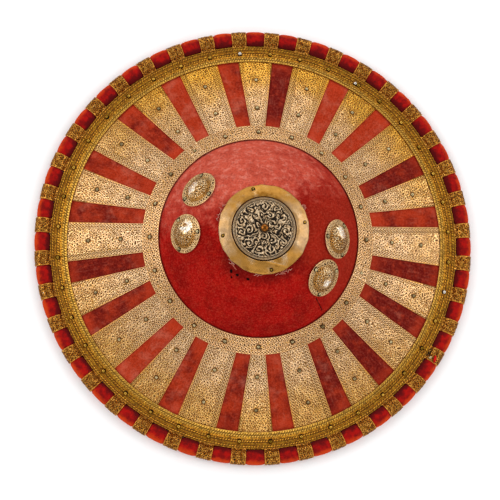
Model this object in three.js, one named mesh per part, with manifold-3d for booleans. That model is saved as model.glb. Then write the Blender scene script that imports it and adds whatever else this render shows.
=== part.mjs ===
// Round parade shield: a domed and flared shell covered in red velvet, with a padded rim roll. Embossed
// brass plates dress its face, with four small bosses and a gilt collar round a scrolled metal disc.
// It lies face up on its rim. Millimetres, +Z up, origin under the centre on the surface it lies on.
import * as THREE from "three";
import { mergeVertices } from "three/addons/utils/BufferGeometryUtils.js";
import Module from "manifold-3d";

const wasm = await Module();
wasm.setup();

const { Vector2, Vector3 } = THREE;
const radians = THREE.MathUtils.degToRad;

// Driving dimensions. Profile points are radius and height of the velvet face.
const domeTop = new Vector2(0, 138);
const domeShoulder = new Vector2(72, 138);
const domeFlank = new Vector2(96, 114);
const domeFoot = new Vector2(126, 65);
const fieldStart = new Vector2(146, 52);
const fieldSag = new Vector2(195, 28);
const fieldEnd = new Vector2(243.7, 10.9);
const troughFloor = new Vector2(258.5, 5.2);
const shellEdge = new Vector2(265.4, 7.6);
const shellThickness = 4;

const clearance = 0.5;
const plateThickness = 1;
const mergeDistance = 1e-4;

// The face is laid out in ten sectors. Seams and panels are degrees from +X, counterclockwise.
const sectorCount = 10;
const sectorAngle = 360 / sectorCount;
const seamAngle = 4.5;
const seamGap = 0.06;

// Facets of the turned pieces. The shell's ridges stand under the seams, and between the rim's teeth.
const shellSides = 40;
const facetAngle = 360 / shellSides;

// Each velvet strip lies between a wide panel, centred on a sector's start, and the narrow one in its middle.
const stripInnerRadius = fieldStart.x;
const stripOuterRadius = fieldEnd.x;
const stripNearInner = 7.15;
const stripNearOuter = 6.05;
const stripFarInner = 14.45;
const stripFarOuter = 12.75;
const panelTuck = 3.7;

// Rim roll: an oval section, a little smaller where a brass tooth of the outer band crosses it.
const rollCentre = 275.7;
const rollHalfWidth = 9.9;
const rollHalfHeight = 8.4;
const rollRecess = 1.5;
const rollFlatAngle = -60;
const rollFacet = 60;
const toothCount = 40;
const toothAngle = 360 / toothCount;
const toothStart = 4.5;
const toothHalfAngle = 2.1;
const toothMargin = 0.12;
const toothRootRadius = 264;
const toothRootInset = 0.15;
const toothRootThickness = 0.4;
const bandStart = fieldEnd.x + 0.3;
const bandInnerLift = 2.3;
const firstNailShift = 3;

const ringInnerRadius = 126.8;
const ringOuterRadius = 146.5;
const ringLift = 2.4;
const ringInnerLift = 0.9;
const tongueSectors = [3, 9];
const tongueHalfAngle = 3.5;
const tongueMargin = 0.15;
const tongueEndRadius = 151;
const tongueRootInset = 0.5;
const tongueRootRise = 0.2;

const nailRadius = 2.9;
const nailHeight = 2.2;
const nailSink = 0.4;
const nailSeat = 2;
const nailSides = 4;
const bandNailRadius = 255;
const panelNailRadii = [216, 174.4];
const ringNailRadius = 136.8;

const bossRadius = 24.5;
const bossUnderside = new Vector2(0, 1);
const bossBrimUnder = new Vector2(bossRadius, -0.6);
const bossBrimTop = new Vector2(bossRadius, 0.5);
const bossConeFoot = new Vector2(16, 1.9);
const bossConeShoulder = new Vector2(6.5, 6.2);
const bossTip = new Vector2(0, 7.6);
const bossDistance = 95.5;
const bossAngles = [146, 181.5, 356, 324];
const bossSides = 10;
const bossSeat = 20;
const bossNailDistance = 19.8;
const bossNailLift = 1;
const bossNailAngles = [180, 60, 300];

// Heights on the collar, the disc and the pin are above the surface that the shield lies on.
const collarInner = 40.3;
const collarOuter = 56.4;
const collarInnerUnder = 135.8;
const collarOuterUnder = 131.3;
const collarEdgeTop = 134.6;
const collarCrest = new Vector2(41.3, 139.5);
const collarInnerTop = 139.1;
const collarSides = 20;
const collarNailDistance = 51.5;
const collarNailAngles = [105, 190, 280, 10];
const collarNailHeight = 136.3;

const discRadius = 39.6;
const discUnderside = new Vector2(0, 138.6);
const discSag = new Vector2(20, 137.9);
const discFoot = new Vector2(discRadius, 136.2);
const discShoulder = 139.8;
const discBorderTop = 141;
const discBorderHalf = 2;
const discSides = 20;
const scrollCount = 8;
const scrollDistance = 23.5;
const scrollStartRadius = 8.6;
const scrollEndRadius = 2.2;
const scrollTurn = 400;
const scrollSteps = 6;
const scrollThickness = 1.7;
const discScrollHeight = 140;
const pinRadius = 4.9;
const pinFoot = new Vector2(0.6, 0);
const pinBelly = new Vector2(1, 0.55);
const pinShoulder = new Vector2(0.75, 1.1);
const pinTop = new Vector2(0, 1.4);
const pinSides = 8;

const strapWidth = 27;
const strapThickness = 3.4;
const strapSteps = 14;
const strapDrop = 6;
const strapEnd = new Vector2(-16, 1);
const strapFold = new Vector2(-34, 6);
const strapFlankWidth = 44;
const strapFlankShare = 0.3;
const strapKneeWidth = 36;
const strapKneeShare = 0.75;
const strapPairs = [
  { name: "forearm_strap", angle: 163.75, reach: 66 },
  { name: "hand_strap", angle: 340, reach: 52 },
];

const domeCurve = new THREE.CubicBezierCurve(domeTop, domeShoulder, domeFlank, domeFoot);
const fieldCurve = new THREE.QuadraticBezierCurve(fieldStart, fieldSag, fieldEnd);
const domeSteps = 5;
const fieldSteps = 2;
const insideDomeSteps = 3;
const insideFieldSteps = 1;
const outlineWith = (domePoints, fieldPoints) => [
  ...domeCurve.getPoints(domePoints),
  ...fieldCurve.getPoints(fieldPoints),
  troughFloor,
  shellEdge,
];
const faceLine = outlineWith(domeSteps, fieldSteps);

const velvet = new THREE.MeshStandardMaterial({ color: 0xa3281a, roughness: 0.95, metalness: 0 });
const rimVelvet = new THREE.MeshStandardMaterial({ color: 0xb92414, roughness: 0.95, metalness: 0 });
const embossed = new THREE.MeshStandardMaterial({ color: 0xc8a56e, roughness: 0.4, metalness: 1 });
const bandBrass = new THREE.MeshStandardMaterial({ color: 0xa0732a, roughness: 0.4, metalness: 1 });
const gilt = new THREE.MeshStandardMaterial({ color: 0xc09a55, roughness: 0.3, metalness: 1 });
const silvered = new THREE.MeshStandardMaterial({ color: 0x8c8576, roughness: 0.45, metalness: 1 });
const leather = new THREE.MeshStandardMaterial({ color: 0x5a3520, roughness: 0.75, metalness: 0 });

function spanAt(radius) {
  const index = Math.max(1, faceLine.findIndex((point) => point.x >= radius));
  return [faceLine[index - 1], faceLine[index]];
}

function faceHeight(radius) {
  const [near, far] = spanAt(radius);
  return THREE.MathUtils.mapLinear(radius, near.x, far.x, near.y, far.y);
}

// How far the face leans outward about a radius, in radians, over a seat reaching both ways.
function faceTilt(radius, seat) {
  return Math.atan2(faceHeight(radius - seat) - faceHeight(radius + seat), 2 * seat);
}

function onCircle(radius, angle, height) {
  const turn = radians(angle);
  return new Vector3(radius * Math.cos(turn), radius * Math.sin(turn), height);
}

function toSolid(geometry) {
  const flat = geometry.index ? geometry.toNonIndexed() : geometry;
  const bare = new THREE.BufferGeometry().setAttribute("position", flat.getAttribute("position"));
  const merged = mergeVertices(bare, mergeDistance);
  const corners = merged.index.array;
  const kept = [];
  for (let i = 0; i < corners.length; i += 3) {
    const [a, b, c] = [corners[i], corners[i + 1], corners[i + 2]];
    if (a !== b && b !== c && c !== a) kept.push(a, b, c);
  }
  const vertProperties = merged.attributes.position.array;
  const triVerts = new Uint32Array(kept);
  return new wasm.Manifold(new wasm.Mesh({ numProp: 3, vertProperties, triVerts }));
}

function toMesh(name, solid, material) {
  const result = solid.getMesh();
  const geometry = new THREE.BufferGeometry();
  geometry.setAttribute("position", new THREE.BufferAttribute(result.vertProperties, 3));
  geometry.setIndex(new THREE.BufferAttribute(result.triVerts, 1));
  geometry.computeVertexNormals();
  const mesh = new THREE.Mesh(geometry, material.clone());
  mesh.name = name;
  return mesh;
}

// Skins rings of points with like counts: a closed loop, or a body capped with its flat outline.
function loftGeometry(rings, outline) {
  const count = rings[0].length;
  const faces = [];
  const spans = outline ? rings.length - 1 : rings.length;
  for (let i = 0; i < spans; i += 1) {
    const here = i * count;
    const next = ((i + 1) % rings.length) * count;
    for (let j = 0; j < count; j += 1) {
      const k = (j + 1) % count;
      faces.push(here + j, next + j, next + k);
      faces.push(here + j, next + k, here + k);
    }
  }
  if (outline) {
    const last = (rings.length - 1) * count;
    for (const [a, b, c] of THREE.ShapeUtils.triangulateShape(outline, [])) {
      faces.push(a, b, c);
      faces.push(last + c, last + b, last + a);
    }
  }
  const geometry = new THREE.BufferGeometry().setFromPoints(rings.flat());
  return geometry.setIndex(faces);
}

function loft(rings, outline) {
  return toSolid(loftGeometry(rings, outline));
}

// The ends of a sweep and the facet ridges between them, which repeat from a phase.
function ridges(from, to, phase) {
  const angles = [from];
  const first = (Math.floor((from - phase) / facetAngle) + 1) * facetAngle + phase;
  for (let angle = first; angle < to - seamGap; angle += facetAngle) angles.push(angle);
  return [...angles, to];
}

// Part of a turned body: the outline, counterclockwise in radius and height, swept through the angles.
function sector(outline, angles) {
  const rings = angles.map((angle) => outline.map((point) => onCircle(point.x, angle, point.y)));
  return loft(rings, outline);
}

// A whole turned body about +Z, with its facets in step with the sector seams.
function turned(outline, sides) {
  const geometry = new THREE.LatheGeometry(outline, sides);
  return geometry.rotateX(Math.PI / 2).rotateZ(radians(seamAngle));
}

// Moves a geometry built round +Z onto the face, square to it.
function standOnFace(geometry, radius, angle, lift, seat) {
  geometry.rotateY(faceTilt(radius, seat));
  geometry.translate(radius, 0, faceHeight(radius) + lift);
  return geometry.rotateZ(radians(angle));
}

function nailHead() {
  const head = new THREE.ConeGeometry(nailRadius, nailHeight + nailSink, nailSides);
  return head.rotateX(Math.PI / 2).translate(0, 0, (nailHeight - nailSink) / 2);
}

function nail(radius, angle, lift) {
  return toSolid(standOnFace(nailHead(), radius, angle, lift, nailSeat));
}

// A thin skin over the face: lifts give its underside's height over the velvet at each radius.
function skinOutline(radii, lifts) {
  const under = radii.map((radius, i) => new Vector2(radius, faceHeight(radius) + lifts[i]));
  const over = under.map((point) => new Vector2(point.x, point.y + plateThickness));
  return [...under, ...over.reverse()];
}

// The shell's underside, from the axis to the edge: a plainer face line moved in square to its slope.
function insideLine() {
  const line = outlineWith(insideDomeSteps, insideFieldSteps);
  return line.map((point, i) => {
    const tilt = i === 0 || i === line.length - 1 ? 0 : faceTilt(point.x, 1);
    const inward = new Vector2(Math.sin(tilt), Math.cos(tilt)).multiplyScalar(shellThickness);
    return point.clone().sub(inward);
  });
}

function makeShell() {
  return toSolid(turned([...insideLine(), ...[...faceLine].reverse()], shellSides));
}

// The section of the rim roll, flat below, with its underside at height zero.
function rollSection(inset, outset = 0) {
  const halfWidth = rollHalfWidth - inset + outset;
  const halfHeight = rollHalfHeight - inset;
  const centreHeight = halfHeight * Math.sin(radians(-rollFlatAngle));
  const points = [];
  for (let angle = rollFlatAngle; angle <= 180 - rollFlatAngle; angle += rollFacet) {
    const across = rollCentre + halfWidth * Math.cos(radians(angle));
    const up = centreHeight + (halfHeight + outset) * Math.sin(radians(angle));
    points.push(new Vector2(across, up));
  }
  return points;
}

function makeRimRoll() {
  const rings = [];
  for (let k = 0; k < toothCount; k += 1) {
    const middle = toothStart + k * toothAngle;
    const stations = [
      [middle - toothHalfAngle, rollRecess],
      [middle + toothHalfAngle, rollRecess],
      [middle + toothAngle / 2, 0],
    ];
    for (const [angle, inset] of stations) {
      rings.push(rollSection(inset).map((point) => onCircle(point.x, angle, point.y)));
    }
  }
  return loft(rings);
}

// One brass tooth: it leaves the band and bends over the rim roll to the shield's outside.
function makeTooth(angle) {
  const under = rollSection(rollRecess, clearance).slice(1, 4).reverse();
  const over = rollSection(rollRecess, clearance + plateThickness).slice(1, 4);
  const chordRadius = toothRootRadius / Math.cos(radians(facetAngle / 2));
  const root = faceHeight(chordRadius) + clearance + toothRootInset;
  const outline = [
    new Vector2(toothRootRadius, root),
    ...under,
    ...over,
    new Vector2(toothRootRadius, root + toothRootThickness),
  ];
  const half = toothHalfAngle - toothMargin;
  return sector(outline, [angle - half, angle + half]);
}

// The first tooth of a band stands across the seam, so its root is cut clear of the band before.
function makeOuterBand(index) {
  const from = index * sectorAngle + seamAngle;
  const radii = [bandStart, troughFloor.x, shellEdge.x];
  const lifts = [bandInnerLift, clearance, clearance];
  let band = sector(skinOutline(radii, lifts), ridges(from + seamGap, from + sectorAngle - seamGap, 0));
  const bandBefore = [
    new Vector2(fieldEnd.x, 0),
    new Vector2(shellEdge.x + clearance, 0),
    new Vector2(shellEdge.x + clearance, domeFoot.y),
    new Vector2(fieldEnd.x, domeFoot.y),
  ];
  const clearOfBefore = sector(bandBefore, [from - toothAngle, from + seamGap]);
  const firstTooth = index * sectorAngle + toothStart;
  for (let k = 0; k < toothCount / sectorCount; k += 1) {
    const middle = firstTooth + k * toothAngle;
    const tooth = makeTooth(middle);
    band = band.add(k === 0 ? tooth.subtract(clearOfBefore) : tooth);
    const nailAngle = k === 0 ? middle + firstNailShift : middle;
    band = band.add(nail(bandNailRadius, nailAngle, clearance + plateThickness));
  }
  return band;
}

// The velvet strip's opening in a field plate, as a tall block to cut away.
function stripBlock(centre, side) {
  const corners = [
    onCircle(stripInnerRadius, centre + side * stripNearInner, 0),
    onCircle(stripOuterRadius, centre + side * stripNearOuter, 0),
    onCircle(stripOuterRadius, centre + side * stripFarOuter, 0),
    onCircle(stripInnerRadius, centre + side * stripFarInner, 0),
  ];
  const outline = new THREE.Shape(corners.map((corner) => new Vector2(corner.x, corner.y)));
  return toSolid(new THREE.ExtrudeGeometry(outline, { depth: domeTop.y, bevelEnabled: false }));
}

// Where a tongue crosses the inner ring, it rises from its narrow panel to the dome's foot.
function makeTongue(centre) {
  const rootTop = faceHeight(tongueEndRadius) + clearance + plateThickness + tongueRootRise;
  const outline = [
    new Vector2(ringInnerRadius, faceHeight(ringInnerRadius) + ringInnerLift),
    new Vector2(ringOuterRadius, faceHeight(ringOuterRadius) + ringLift),
    new Vector2(tongueEndRadius, rootTop - tongueRootInset - tongueRootRise),
    new Vector2(tongueEndRadius, rootTop),
    new Vector2(ringOuterRadius, faceHeight(ringOuterRadius) + ringLift + plateThickness),
    new Vector2(ringInnerRadius, faceHeight(ringInnerRadius) + ringInnerLift + plateThickness),
  ];
  return sector(outline, [centre - tongueHalfAngle, centre + tongueHalfAngle]);
}

function makeFieldPlate(index) {
  const wideCentre = index * sectorAngle;
  const narrowCentre = wideCentre + sectorAngle / 2;
  const from = wideCentre + seamAngle;
  const radii = [stripInnerRadius - panelTuck, fieldSag.x, stripOuterRadius + panelTuck];
  const lifts = radii.map(() => clearance);
  const angles = ridges(from + seamGap, from + sectorAngle - seamGap, seamAngle);
  let plate = sector(skinOutline(radii, lifts), angles);
  plate = plate.subtract(stripBlock(wideCentre, 1));
  plate = plate.subtract(stripBlock(wideCentre + sectorAngle, -1));
  if (tongueSectors.includes(index)) plate = plate.add(makeTongue(narrowCentre));
  for (const radius of panelNailRadii) {
    plate = plate.add(nail(radius, narrowCentre, clearance + plateThickness));
    plate = plate.add(nail(radius, wideCentre + sectorAngle, clearance + plateThickness));
  }
  return plate;
}

// Half of the inner ring, from one tongue to the next.
function makeRingHalf(fromSector, toSector) {
  const half = tongueHalfAngle + tongueMargin;
  const from = fromSector * sectorAngle + sectorAngle / 2 + half;
  const to = toSector * sectorAngle + sectorAngle / 2 - half;
  const outline = skinOutline([ringInnerRadius, ringOuterRadius], [ringInnerLift, ringLift]);
  let ring = sector(outline, ridges(from, to, seamAngle));
  const first = Math.ceil(from / (sectorAngle / 2)) * (sectorAngle / 2);
  for (let angle = first; angle < to; angle += sectorAngle / 2) {
    ring = ring.add(nail(ringNailRadius, angle, (ringLift + ringInnerLift) / 2 + plateThickness));
  }
  return ring;
}

// A boss is a low cone on a brim. Its underside is dished to sit on the dome.
function makeBoss(angle) {
  const outline = [bossUnderside, bossBrimUnder, bossBrimTop, bossConeFoot, bossConeShoulder, bossTip];
  let boss = toSolid(standOnFace(turned(outline, bossSides), bossDistance, angle, 0, bossSeat));
  for (const bearing of bossNailAngles) {
    const head = nailHead().translate(bossNailDistance, 0, bossNailLift).rotateZ(radians(bearing));
    boss = boss.add(toSolid(standOnFace(head, bossDistance, angle, 0, bossSeat)));
  }
  return boss;
}

function makeCollar() {
  const outline = [
    new Vector2(collarInner, collarInnerUnder),
    new Vector2(collarOuter, collarOuterUnder),
    new Vector2(collarOuter, collarEdgeTop),
    collarCrest,
    new Vector2(collarInner, collarInnerTop),
    new Vector2(collarInner, collarInnerUnder),
  ];
  let collar = toSolid(turned(outline, collarSides));
  for (const angle of collarNailAngles) {
    const head = nailHead().translate(0, 0, collarNailHeight);
    head.translate(collarNailDistance, 0, 0).rotateZ(radians(angle));
    collar = collar.add(toSolid(head));
  }
  return collar;
}

// One raised scroll of the disc: a ridge wound inward about its own centre, to the left or the right.
function makeScroll(angle, hand) {
  const centre = onCircle(scrollDistance, angle, discScrollHeight);
  const points = [];
  for (let i = 0; i <= scrollSteps; i += 1) {
    const share = i / scrollSteps;
    const reach = THREE.MathUtils.lerp(scrollStartRadius, scrollEndRadius, share);
    points.push(onCircle(reach, angle + hand * share * scrollTurn, 0).add(centre));
  }
  const rings = points.map((point, i) => {
    const before = points[Math.max(0, i - 1)];
    const after = points[Math.min(scrollSteps, i + 1)];
    const along = after.clone().sub(before).normalize();
    const side = new Vector3(along.y, -along.x, 0).multiplyScalar(scrollThickness);
    const crest = point.clone().add(new Vector3(0, 0, scrollThickness));
    const low = new Vector3(0, 0, -scrollThickness / 2);
    return [point.clone().add(side).add(low), crest, point.clone().sub(side).add(low)];
  });
  const flat = [new Vector2(1, 0), new Vector2(0, 1), new Vector2(-1, 0)];
  return loft(rings, flat);
}

function makeDisc() {
  const outline = [
    discUnderside,
    discSag,
    discFoot,
    new Vector2(discRadius, discShoulder),
    new Vector2(discRadius - discBorderHalf, discBorderTop),
    new Vector2(discRadius - discBorderHalf * 2, discShoulder),
    new Vector2(0, discScrollHeight),
  ];
  let disc = toSolid(turned(outline, discSides));
  for (let k = 0; k < scrollCount; k += 1) {
    disc = disc.add(makeScroll((k * 360) / scrollCount, k % 2 ? 1 : -1));
  }
  return disc;
}

// The pin's outline is given in shares of its radius.
function makePin() {
  const foot = new Vector2(0, discScrollHeight + clearance);
  const shares = [pinFoot, pinBelly, pinShoulder, pinTop];
  const outline = shares.map((share) => share.clone().multiplyScalar(pinRadius).add(foot));
  return toSolid(turned([foot, ...outline], pinSides));
}

// An arm strap: a leather loop under one pair of bosses, its ends folded in against the shell.
function makeStrap({ angle, reach }) {
  const foldedEnd = [
    strapEnd,
    strapFold,
    new Vector2(-strapFlankWidth, reach * strapFlankShare),
    new Vector2(-strapKneeWidth, reach * strapKneeShare),
  ];
  const otherEnd = foldedEnd.map((point) => new Vector2(-point.x, point.y)).reverse();
  const path = new THREE.SplineCurve([...foldedEnd, new Vector2(0, reach), ...otherEnd]);
  const rings = path.getPoints(strapSteps).map((point, i) => {
    const along = path.getTangent(i / strapSteps);
    const across = new Vector2(-along.y, along.x).multiplyScalar(strapThickness / 2);
    const [inner, outer] = [point.clone().add(across), point.clone().sub(across)];
    const half = strapWidth / 2;
    return [
      new Vector3(half, inner.x, -inner.y),
      new Vector3(half, outer.x, -outer.y),
      new Vector3(-half, outer.x, -outer.y),
      new Vector3(-half, inner.x, -inner.y),
    ];
  });
  const flat = [new Vector2(0, 0), new Vector2(1, 0), new Vector2(1, 1), new Vector2(0, 1)];
  const geometry = standOnFace(loftGeometry(rings, flat), bossDistance, angle, -strapDrop, bossSeat);
  return toSolid(geometry).subtract(shellRoom());
}

// The shell with all above it, dropped by the clearance, to trim what hangs below.
function shellRoom() {
  const room = insideLine().map((point) => new Vector2(point.x, point.y - clearance));
  const ceiling = domeTop.y + strapWidth;
  return toSolid(turned([...room, new Vector2(shellEdge.x, ceiling), new Vector2(0, ceiling)], shellSides));
}

const shield = new THREE.Group();
shield.add(toMesh("shell", makeShell(), velvet));
shield.add(toMesh("rim_roll", makeRimRoll(), rimVelvet));
for (let index = 0; index < sectorCount; index += 1) {
  const number = String(index + 1).padStart(2, "0");
  shield.add(toMesh(`field_plate_${number}`, makeFieldPlate(index), embossed));
  shield.add(toMesh(`outer_band_${number}`, makeOuterBand(index), bandBrass));
}
const [tongueA, tongueB] = tongueSectors;
shield.add(toMesh("inner_ring_left", makeRingHalf(tongueA, tongueB), embossed));
shield.add(toMesh("inner_ring_right", makeRingHalf(tongueB, tongueA + sectorCount), embossed));
bossAngles.forEach((angle, i) => {
  shield.add(toMesh(`boss_${i + 1}`, makeBoss(angle), gilt));
});
shield.add(toMesh("collar", makeCollar(), gilt));
shield.add(toMesh("disc", makeDisc(), silvered));
shield.add(toMesh("pin", makePin(), gilt));
for (const strap of strapPairs) {
  shield.add(toMesh(strap.name, makeStrap(strap), leather));
}

export default shield;
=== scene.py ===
import math

import bpy
import numpy as np
from mathutils import Matrix, Vector


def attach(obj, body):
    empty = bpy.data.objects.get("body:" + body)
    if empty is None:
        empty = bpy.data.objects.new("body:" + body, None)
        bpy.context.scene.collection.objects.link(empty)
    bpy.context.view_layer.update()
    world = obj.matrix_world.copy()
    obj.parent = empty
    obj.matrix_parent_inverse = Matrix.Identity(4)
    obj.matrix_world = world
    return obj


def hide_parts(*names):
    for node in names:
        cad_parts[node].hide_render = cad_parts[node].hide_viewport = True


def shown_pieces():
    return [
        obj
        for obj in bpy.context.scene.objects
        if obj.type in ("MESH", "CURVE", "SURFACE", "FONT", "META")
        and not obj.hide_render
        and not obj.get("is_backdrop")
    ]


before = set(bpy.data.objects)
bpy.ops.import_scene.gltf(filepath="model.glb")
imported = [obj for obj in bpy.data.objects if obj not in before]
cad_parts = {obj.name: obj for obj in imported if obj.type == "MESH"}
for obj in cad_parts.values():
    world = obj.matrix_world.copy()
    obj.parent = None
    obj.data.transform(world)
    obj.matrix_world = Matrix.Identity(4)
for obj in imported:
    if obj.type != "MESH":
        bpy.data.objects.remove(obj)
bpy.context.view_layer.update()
print("stage: frame loaded")

# The shield's plan in millimetres and degrees from +X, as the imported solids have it.
plan = {
    "dome": [(0, 138), (72, 138), (96, 114), (126, 65)],
    "field": [(146, 52), (195, 28), (243.7, 10.9)],
    "trough": (258.5, 5.2),
    "edge": (265.4, 7.6),
    "thickness": 4.0,
    "sectors": 10,
    "seam": 4.5,
    "stripInner": 146.0,
    "stripOuter": 243.7,
    "near": (7.15, 6.05),
    "far": (14.45, 12.75),
    "clearance": 0.5,
    "plate": 1.0,
}
millimetre = 0.001
sectorSize = 360 / plan["sectors"]


def along(corners, count):
    # Points on a curve with these corners, by repeated halving of the way between them.
    share = np.linspace(0, 1, count)[:, None]
    points = [np.array(corner, float) + 0 * share for corner in corners]
    while len(points) > 1:
        points = [a + (b - a) * share for a, b in zip(points, points[1:])]
    return points[0]


def smoothProfile():
    line = np.vstack([along(plan["dome"], 80), along(plan["field"], 80), plan["trough"], plan["edge"]])
    radii = np.arange(-30, plan["edge"][0] + 0.01, 0.2)
    heights = np.interp(np.abs(radii), line[:, 0], line[:, 1])
    window = np.hanning(33)
    rounded = np.convolve(heights, window / window.sum(), mode="same")
    ends = radii > plan["edge"][0] - 4
    rounded[ends] = heights[ends]
    return radii, rounded


profileRadii, profileHeights = smoothProfile()
profileSlopes = np.gradient(profileHeights, profileRadii)


def faceHeight(radius):
    return np.interp(radius, profileRadii, profileHeights)


def planSpot(radius, angle):
    turn = math.radians(angle)
    return np.array([radius * math.cos(turn), radius * math.sin(turn)])


def planPoints(radius, angle):
    turn = np.radians(angle)
    return radius * np.cos(turn), radius * np.sin(turn)


def ringPoints(radius, angle, height):
    return np.stack([*planPoints(radius, angle), height], -1)


def lifted(radius, angle, lift):
    # Points over the velvet face, moved out square to it.
    slope = np.interp(radius, profileRadii, profileSlopes)
    length = np.sqrt(1 + slope * slope)
    return ringPoints(radius - lift * slope / length, angle, faceHeight(radius) + lift / length)


def straightEdge(radius, ends):
    # The angle of a strip's straight edge at each radius, from its angles at the two ends.
    a, b = np.radians(ends[0]), np.radians(ends[1])
    start = np.array([math.cos(a), math.sin(a)]) * plan["stripInner"]
    span = np.array([math.cos(b), math.sin(b)]) * plan["stripOuter"] - start
    reach = np.clip(radius, plan["stripInner"], plan["stripOuter"])
    middle, rest = 2 * start @ span, start @ start - reach * reach
    share = (-middle + np.sqrt(middle * middle - 4 * (span @ span) * rest)) / (2 * (span @ span))
    return np.degrees(np.arctan2(start[1] + share * span[1], start[0] + share * span[0]))


def sectorColumns(radius, index, counts):
    # Column angles across one sector: part of a wide panel, strip, narrow panel, strip, wide panel.
    near, far = straightEdge(radius, plan["near"]), straightEdge(radius, plan["far"])
    seam = plan["seam"] + 0 * radius
    stops = [seam, near, far, sectorSize - far, sectorSize - near, sectorSize + seam]
    columns = [stops[0][:, None]]
    for a, b, count in zip(stops, stops[1:], counts):
        share = np.arange(1, count + 1) / count
        columns.append(a[:, None] + (b - a)[:, None] * share)
    return np.hstack(columns) + index * sectorSize


def wavy(x, y, size, seed, waves=12):
    # A smooth irregular field, about -1 to 1, whose swells are about this size.
    dice = np.random.default_rng(seed)
    total = 0 * x
    for _ in range(waves):
        turn, start = dice.uniform(0, math.tau), dice.uniform(0, math.tau)
        reach = size * dice.uniform(0.7, 1.5)
        total = total + np.sin((x * math.cos(turn) + y * math.sin(turn)) * math.tau / reach + start)
    return total / math.sqrt(waves / 2) * 0.7


def hump(distance, width):
    return np.clip(1 - (distance / width) ** 2, 0, None) ** 2


def smoothstep(low, high, value):
    share = np.clip((value - low) / (high - low), 0, 1)
    return share * share * (3 - 2 * share)


def buildMesh(name, shape, materials):
    # shape holds the points, the faces' loops, where each face starts, and the fields that finishes read.
    points, loops, starts, fields = shape
    mesh = bpy.data.meshes.new(name)
    mesh.vertices.add(len(points))
    mesh.vertices.foreach_set("co", (np.asarray(points) * millimetre).astype(np.float32).ravel())
    mesh.loops.add(len(loops))
    mesh.loops.foreach_set("vertex_index", np.asarray(loops, np.int32))
    mesh.polygons.add(len(starts))
    mesh.polygons.foreach_set("loop_start", np.asarray(starts, np.int32))
    for field, values in fields.items():
        layer = mesh.attributes.new(field, "FLOAT", "POINT")
        layer.data.foreach_set("value", np.asarray(values, np.float32))
    mesh.update(calc_edges=True)
    mesh.validate()
    mesh.shade_smooth()
    item = bpy.data.objects.new(name, mesh)
    bpy.context.scene.collection.objects.link(item)
    for material in materials:
        mesh.materials.append(material)
    return item


def joined(parts):
    # Several point sets with their faces as one: points, loops, starts and fields.
    points, loops, starts, fields, shift, count = [], [], [], {}, 0, 0
    for part in parts:
        points.append(part[0])
        loops.append(np.asarray(part[1]) + shift)
        starts.append(np.asarray(part[2]) + count)
        for field, values in part[3].items():
            fields.setdefault(field, []).append(values)
        shift += len(part[0])
        count += len(part[1])
    fields = {field: np.concatenate(values) for field, values in fields.items()}
    return np.vstack(points), np.concatenate(loops), np.concatenate(starts), fields


def slab(front, back, step, fields=None, kept=None, around=False, hub=False):
    # A closed plate: a fine front over a coarser back, joined at the borders of the blocks that are kept.
    # Rows run outward and columns counterclockwise. around joins the last column to the first, and hub
    # closes the first row of front and back with a cap each.
    rows, columns = front.shape[0], front.shape[1]
    deep, wide = (rows - 1) // step, (columns if around else columns - 1) // step
    kept = np.ones((deep, wide), bool) if kept is None else kept
    backColumns = back.shape[1]
    frontId = np.arange(rows * columns).reshape(rows, columns)
    backId = np.arange(back.shape[0] * backColumns).reshape(back.shape[0], backColumns) + rows * columns
    if around:
        frontId = np.hstack([frontId, frontId[:, :1]])
        backId = np.hstack([backId, backId[:, :1]])
    fine = np.repeat(np.repeat(kept, step, 0), step, 1)
    a, b, c, d = frontId[:-1, :-1], frontId[1:, :-1], frontId[1:, 1:], frontId[:-1, 1:]
    faces = [np.stack([a[fine], b[fine], c[fine], d[fine]], 1)]
    a, b, c, d = backId[:-1, :-1], backId[1:, :-1], backId[1:, 1:], backId[:-1, 1:]
    faces.append(np.stack([d[kept], c[kept], b[kept], a[kept]], 1))
    quads = np.vstack(faces)
    ring = np.pad(kept, 1)
    if around:
        ring[:, 0], ring[:, -1] = ring[:, -2], ring[:, 1]
    ring[0] = hub
    inside = ring[1:-1, 1:-1]
    skirts = [frontId[0, :columns], backId[0, :backColumns][::-1]] if hub else []
    for row, column in np.argwhere(inside & ~ring[:-2, 1:-1]):
        edge = frontId[row * step, column * step:column * step + step + 1]
        skirts.append([*edge, backId[row, column + 1], backId[row, column]])
    for row, column in np.argwhere(inside & ~ring[2:, 1:-1]):
        edge = frontId[(row + 1) * step, column * step:column * step + step + 1]
        skirts.append([*edge[::-1], backId[row + 1, column], backId[row + 1, column + 1]])
    for row, column in np.argwhere(inside & ~ring[1:-1, :-2]):
        edge = frontId[row * step:row * step + step + 1, column * step]
        skirts.append([*edge[::-1], backId[row, column], backId[row + 1, column]])
    for row, column in np.argwhere(inside & ~ring[1:-1, 2:]):
        edge = frontId[row * step:row * step + step + 1, (column + 1) * step]
        skirts.append([*edge, backId[row + 1, column + 1], backId[row, column + 1]])
    loops = np.concatenate([quads.ravel(), *[np.array(skirt) for skirt in skirts]])
    sizes = np.concatenate([np.full(len(quads), 4), np.array([len(skirt) for skirt in skirts], int)])
    starts = np.concatenate([[0], np.cumsum(sizes)[:-1]]).astype(int)
    points = np.vstack([front.reshape(-1, 3), back.reshape(-1, 3)])
    extra = {}
    for field, values in (fields or {}).items():
        extra[field] = np.concatenate([values.ravel(), np.full(len(points) - rows * columns, 1.2)])
    used = np.unique(loops)
    order = np.full(len(points), -1)
    order[used] = np.arange(len(used))
    return points[used], order[loops], starts, {field: values[used] for field, values in extra.items()}


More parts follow.
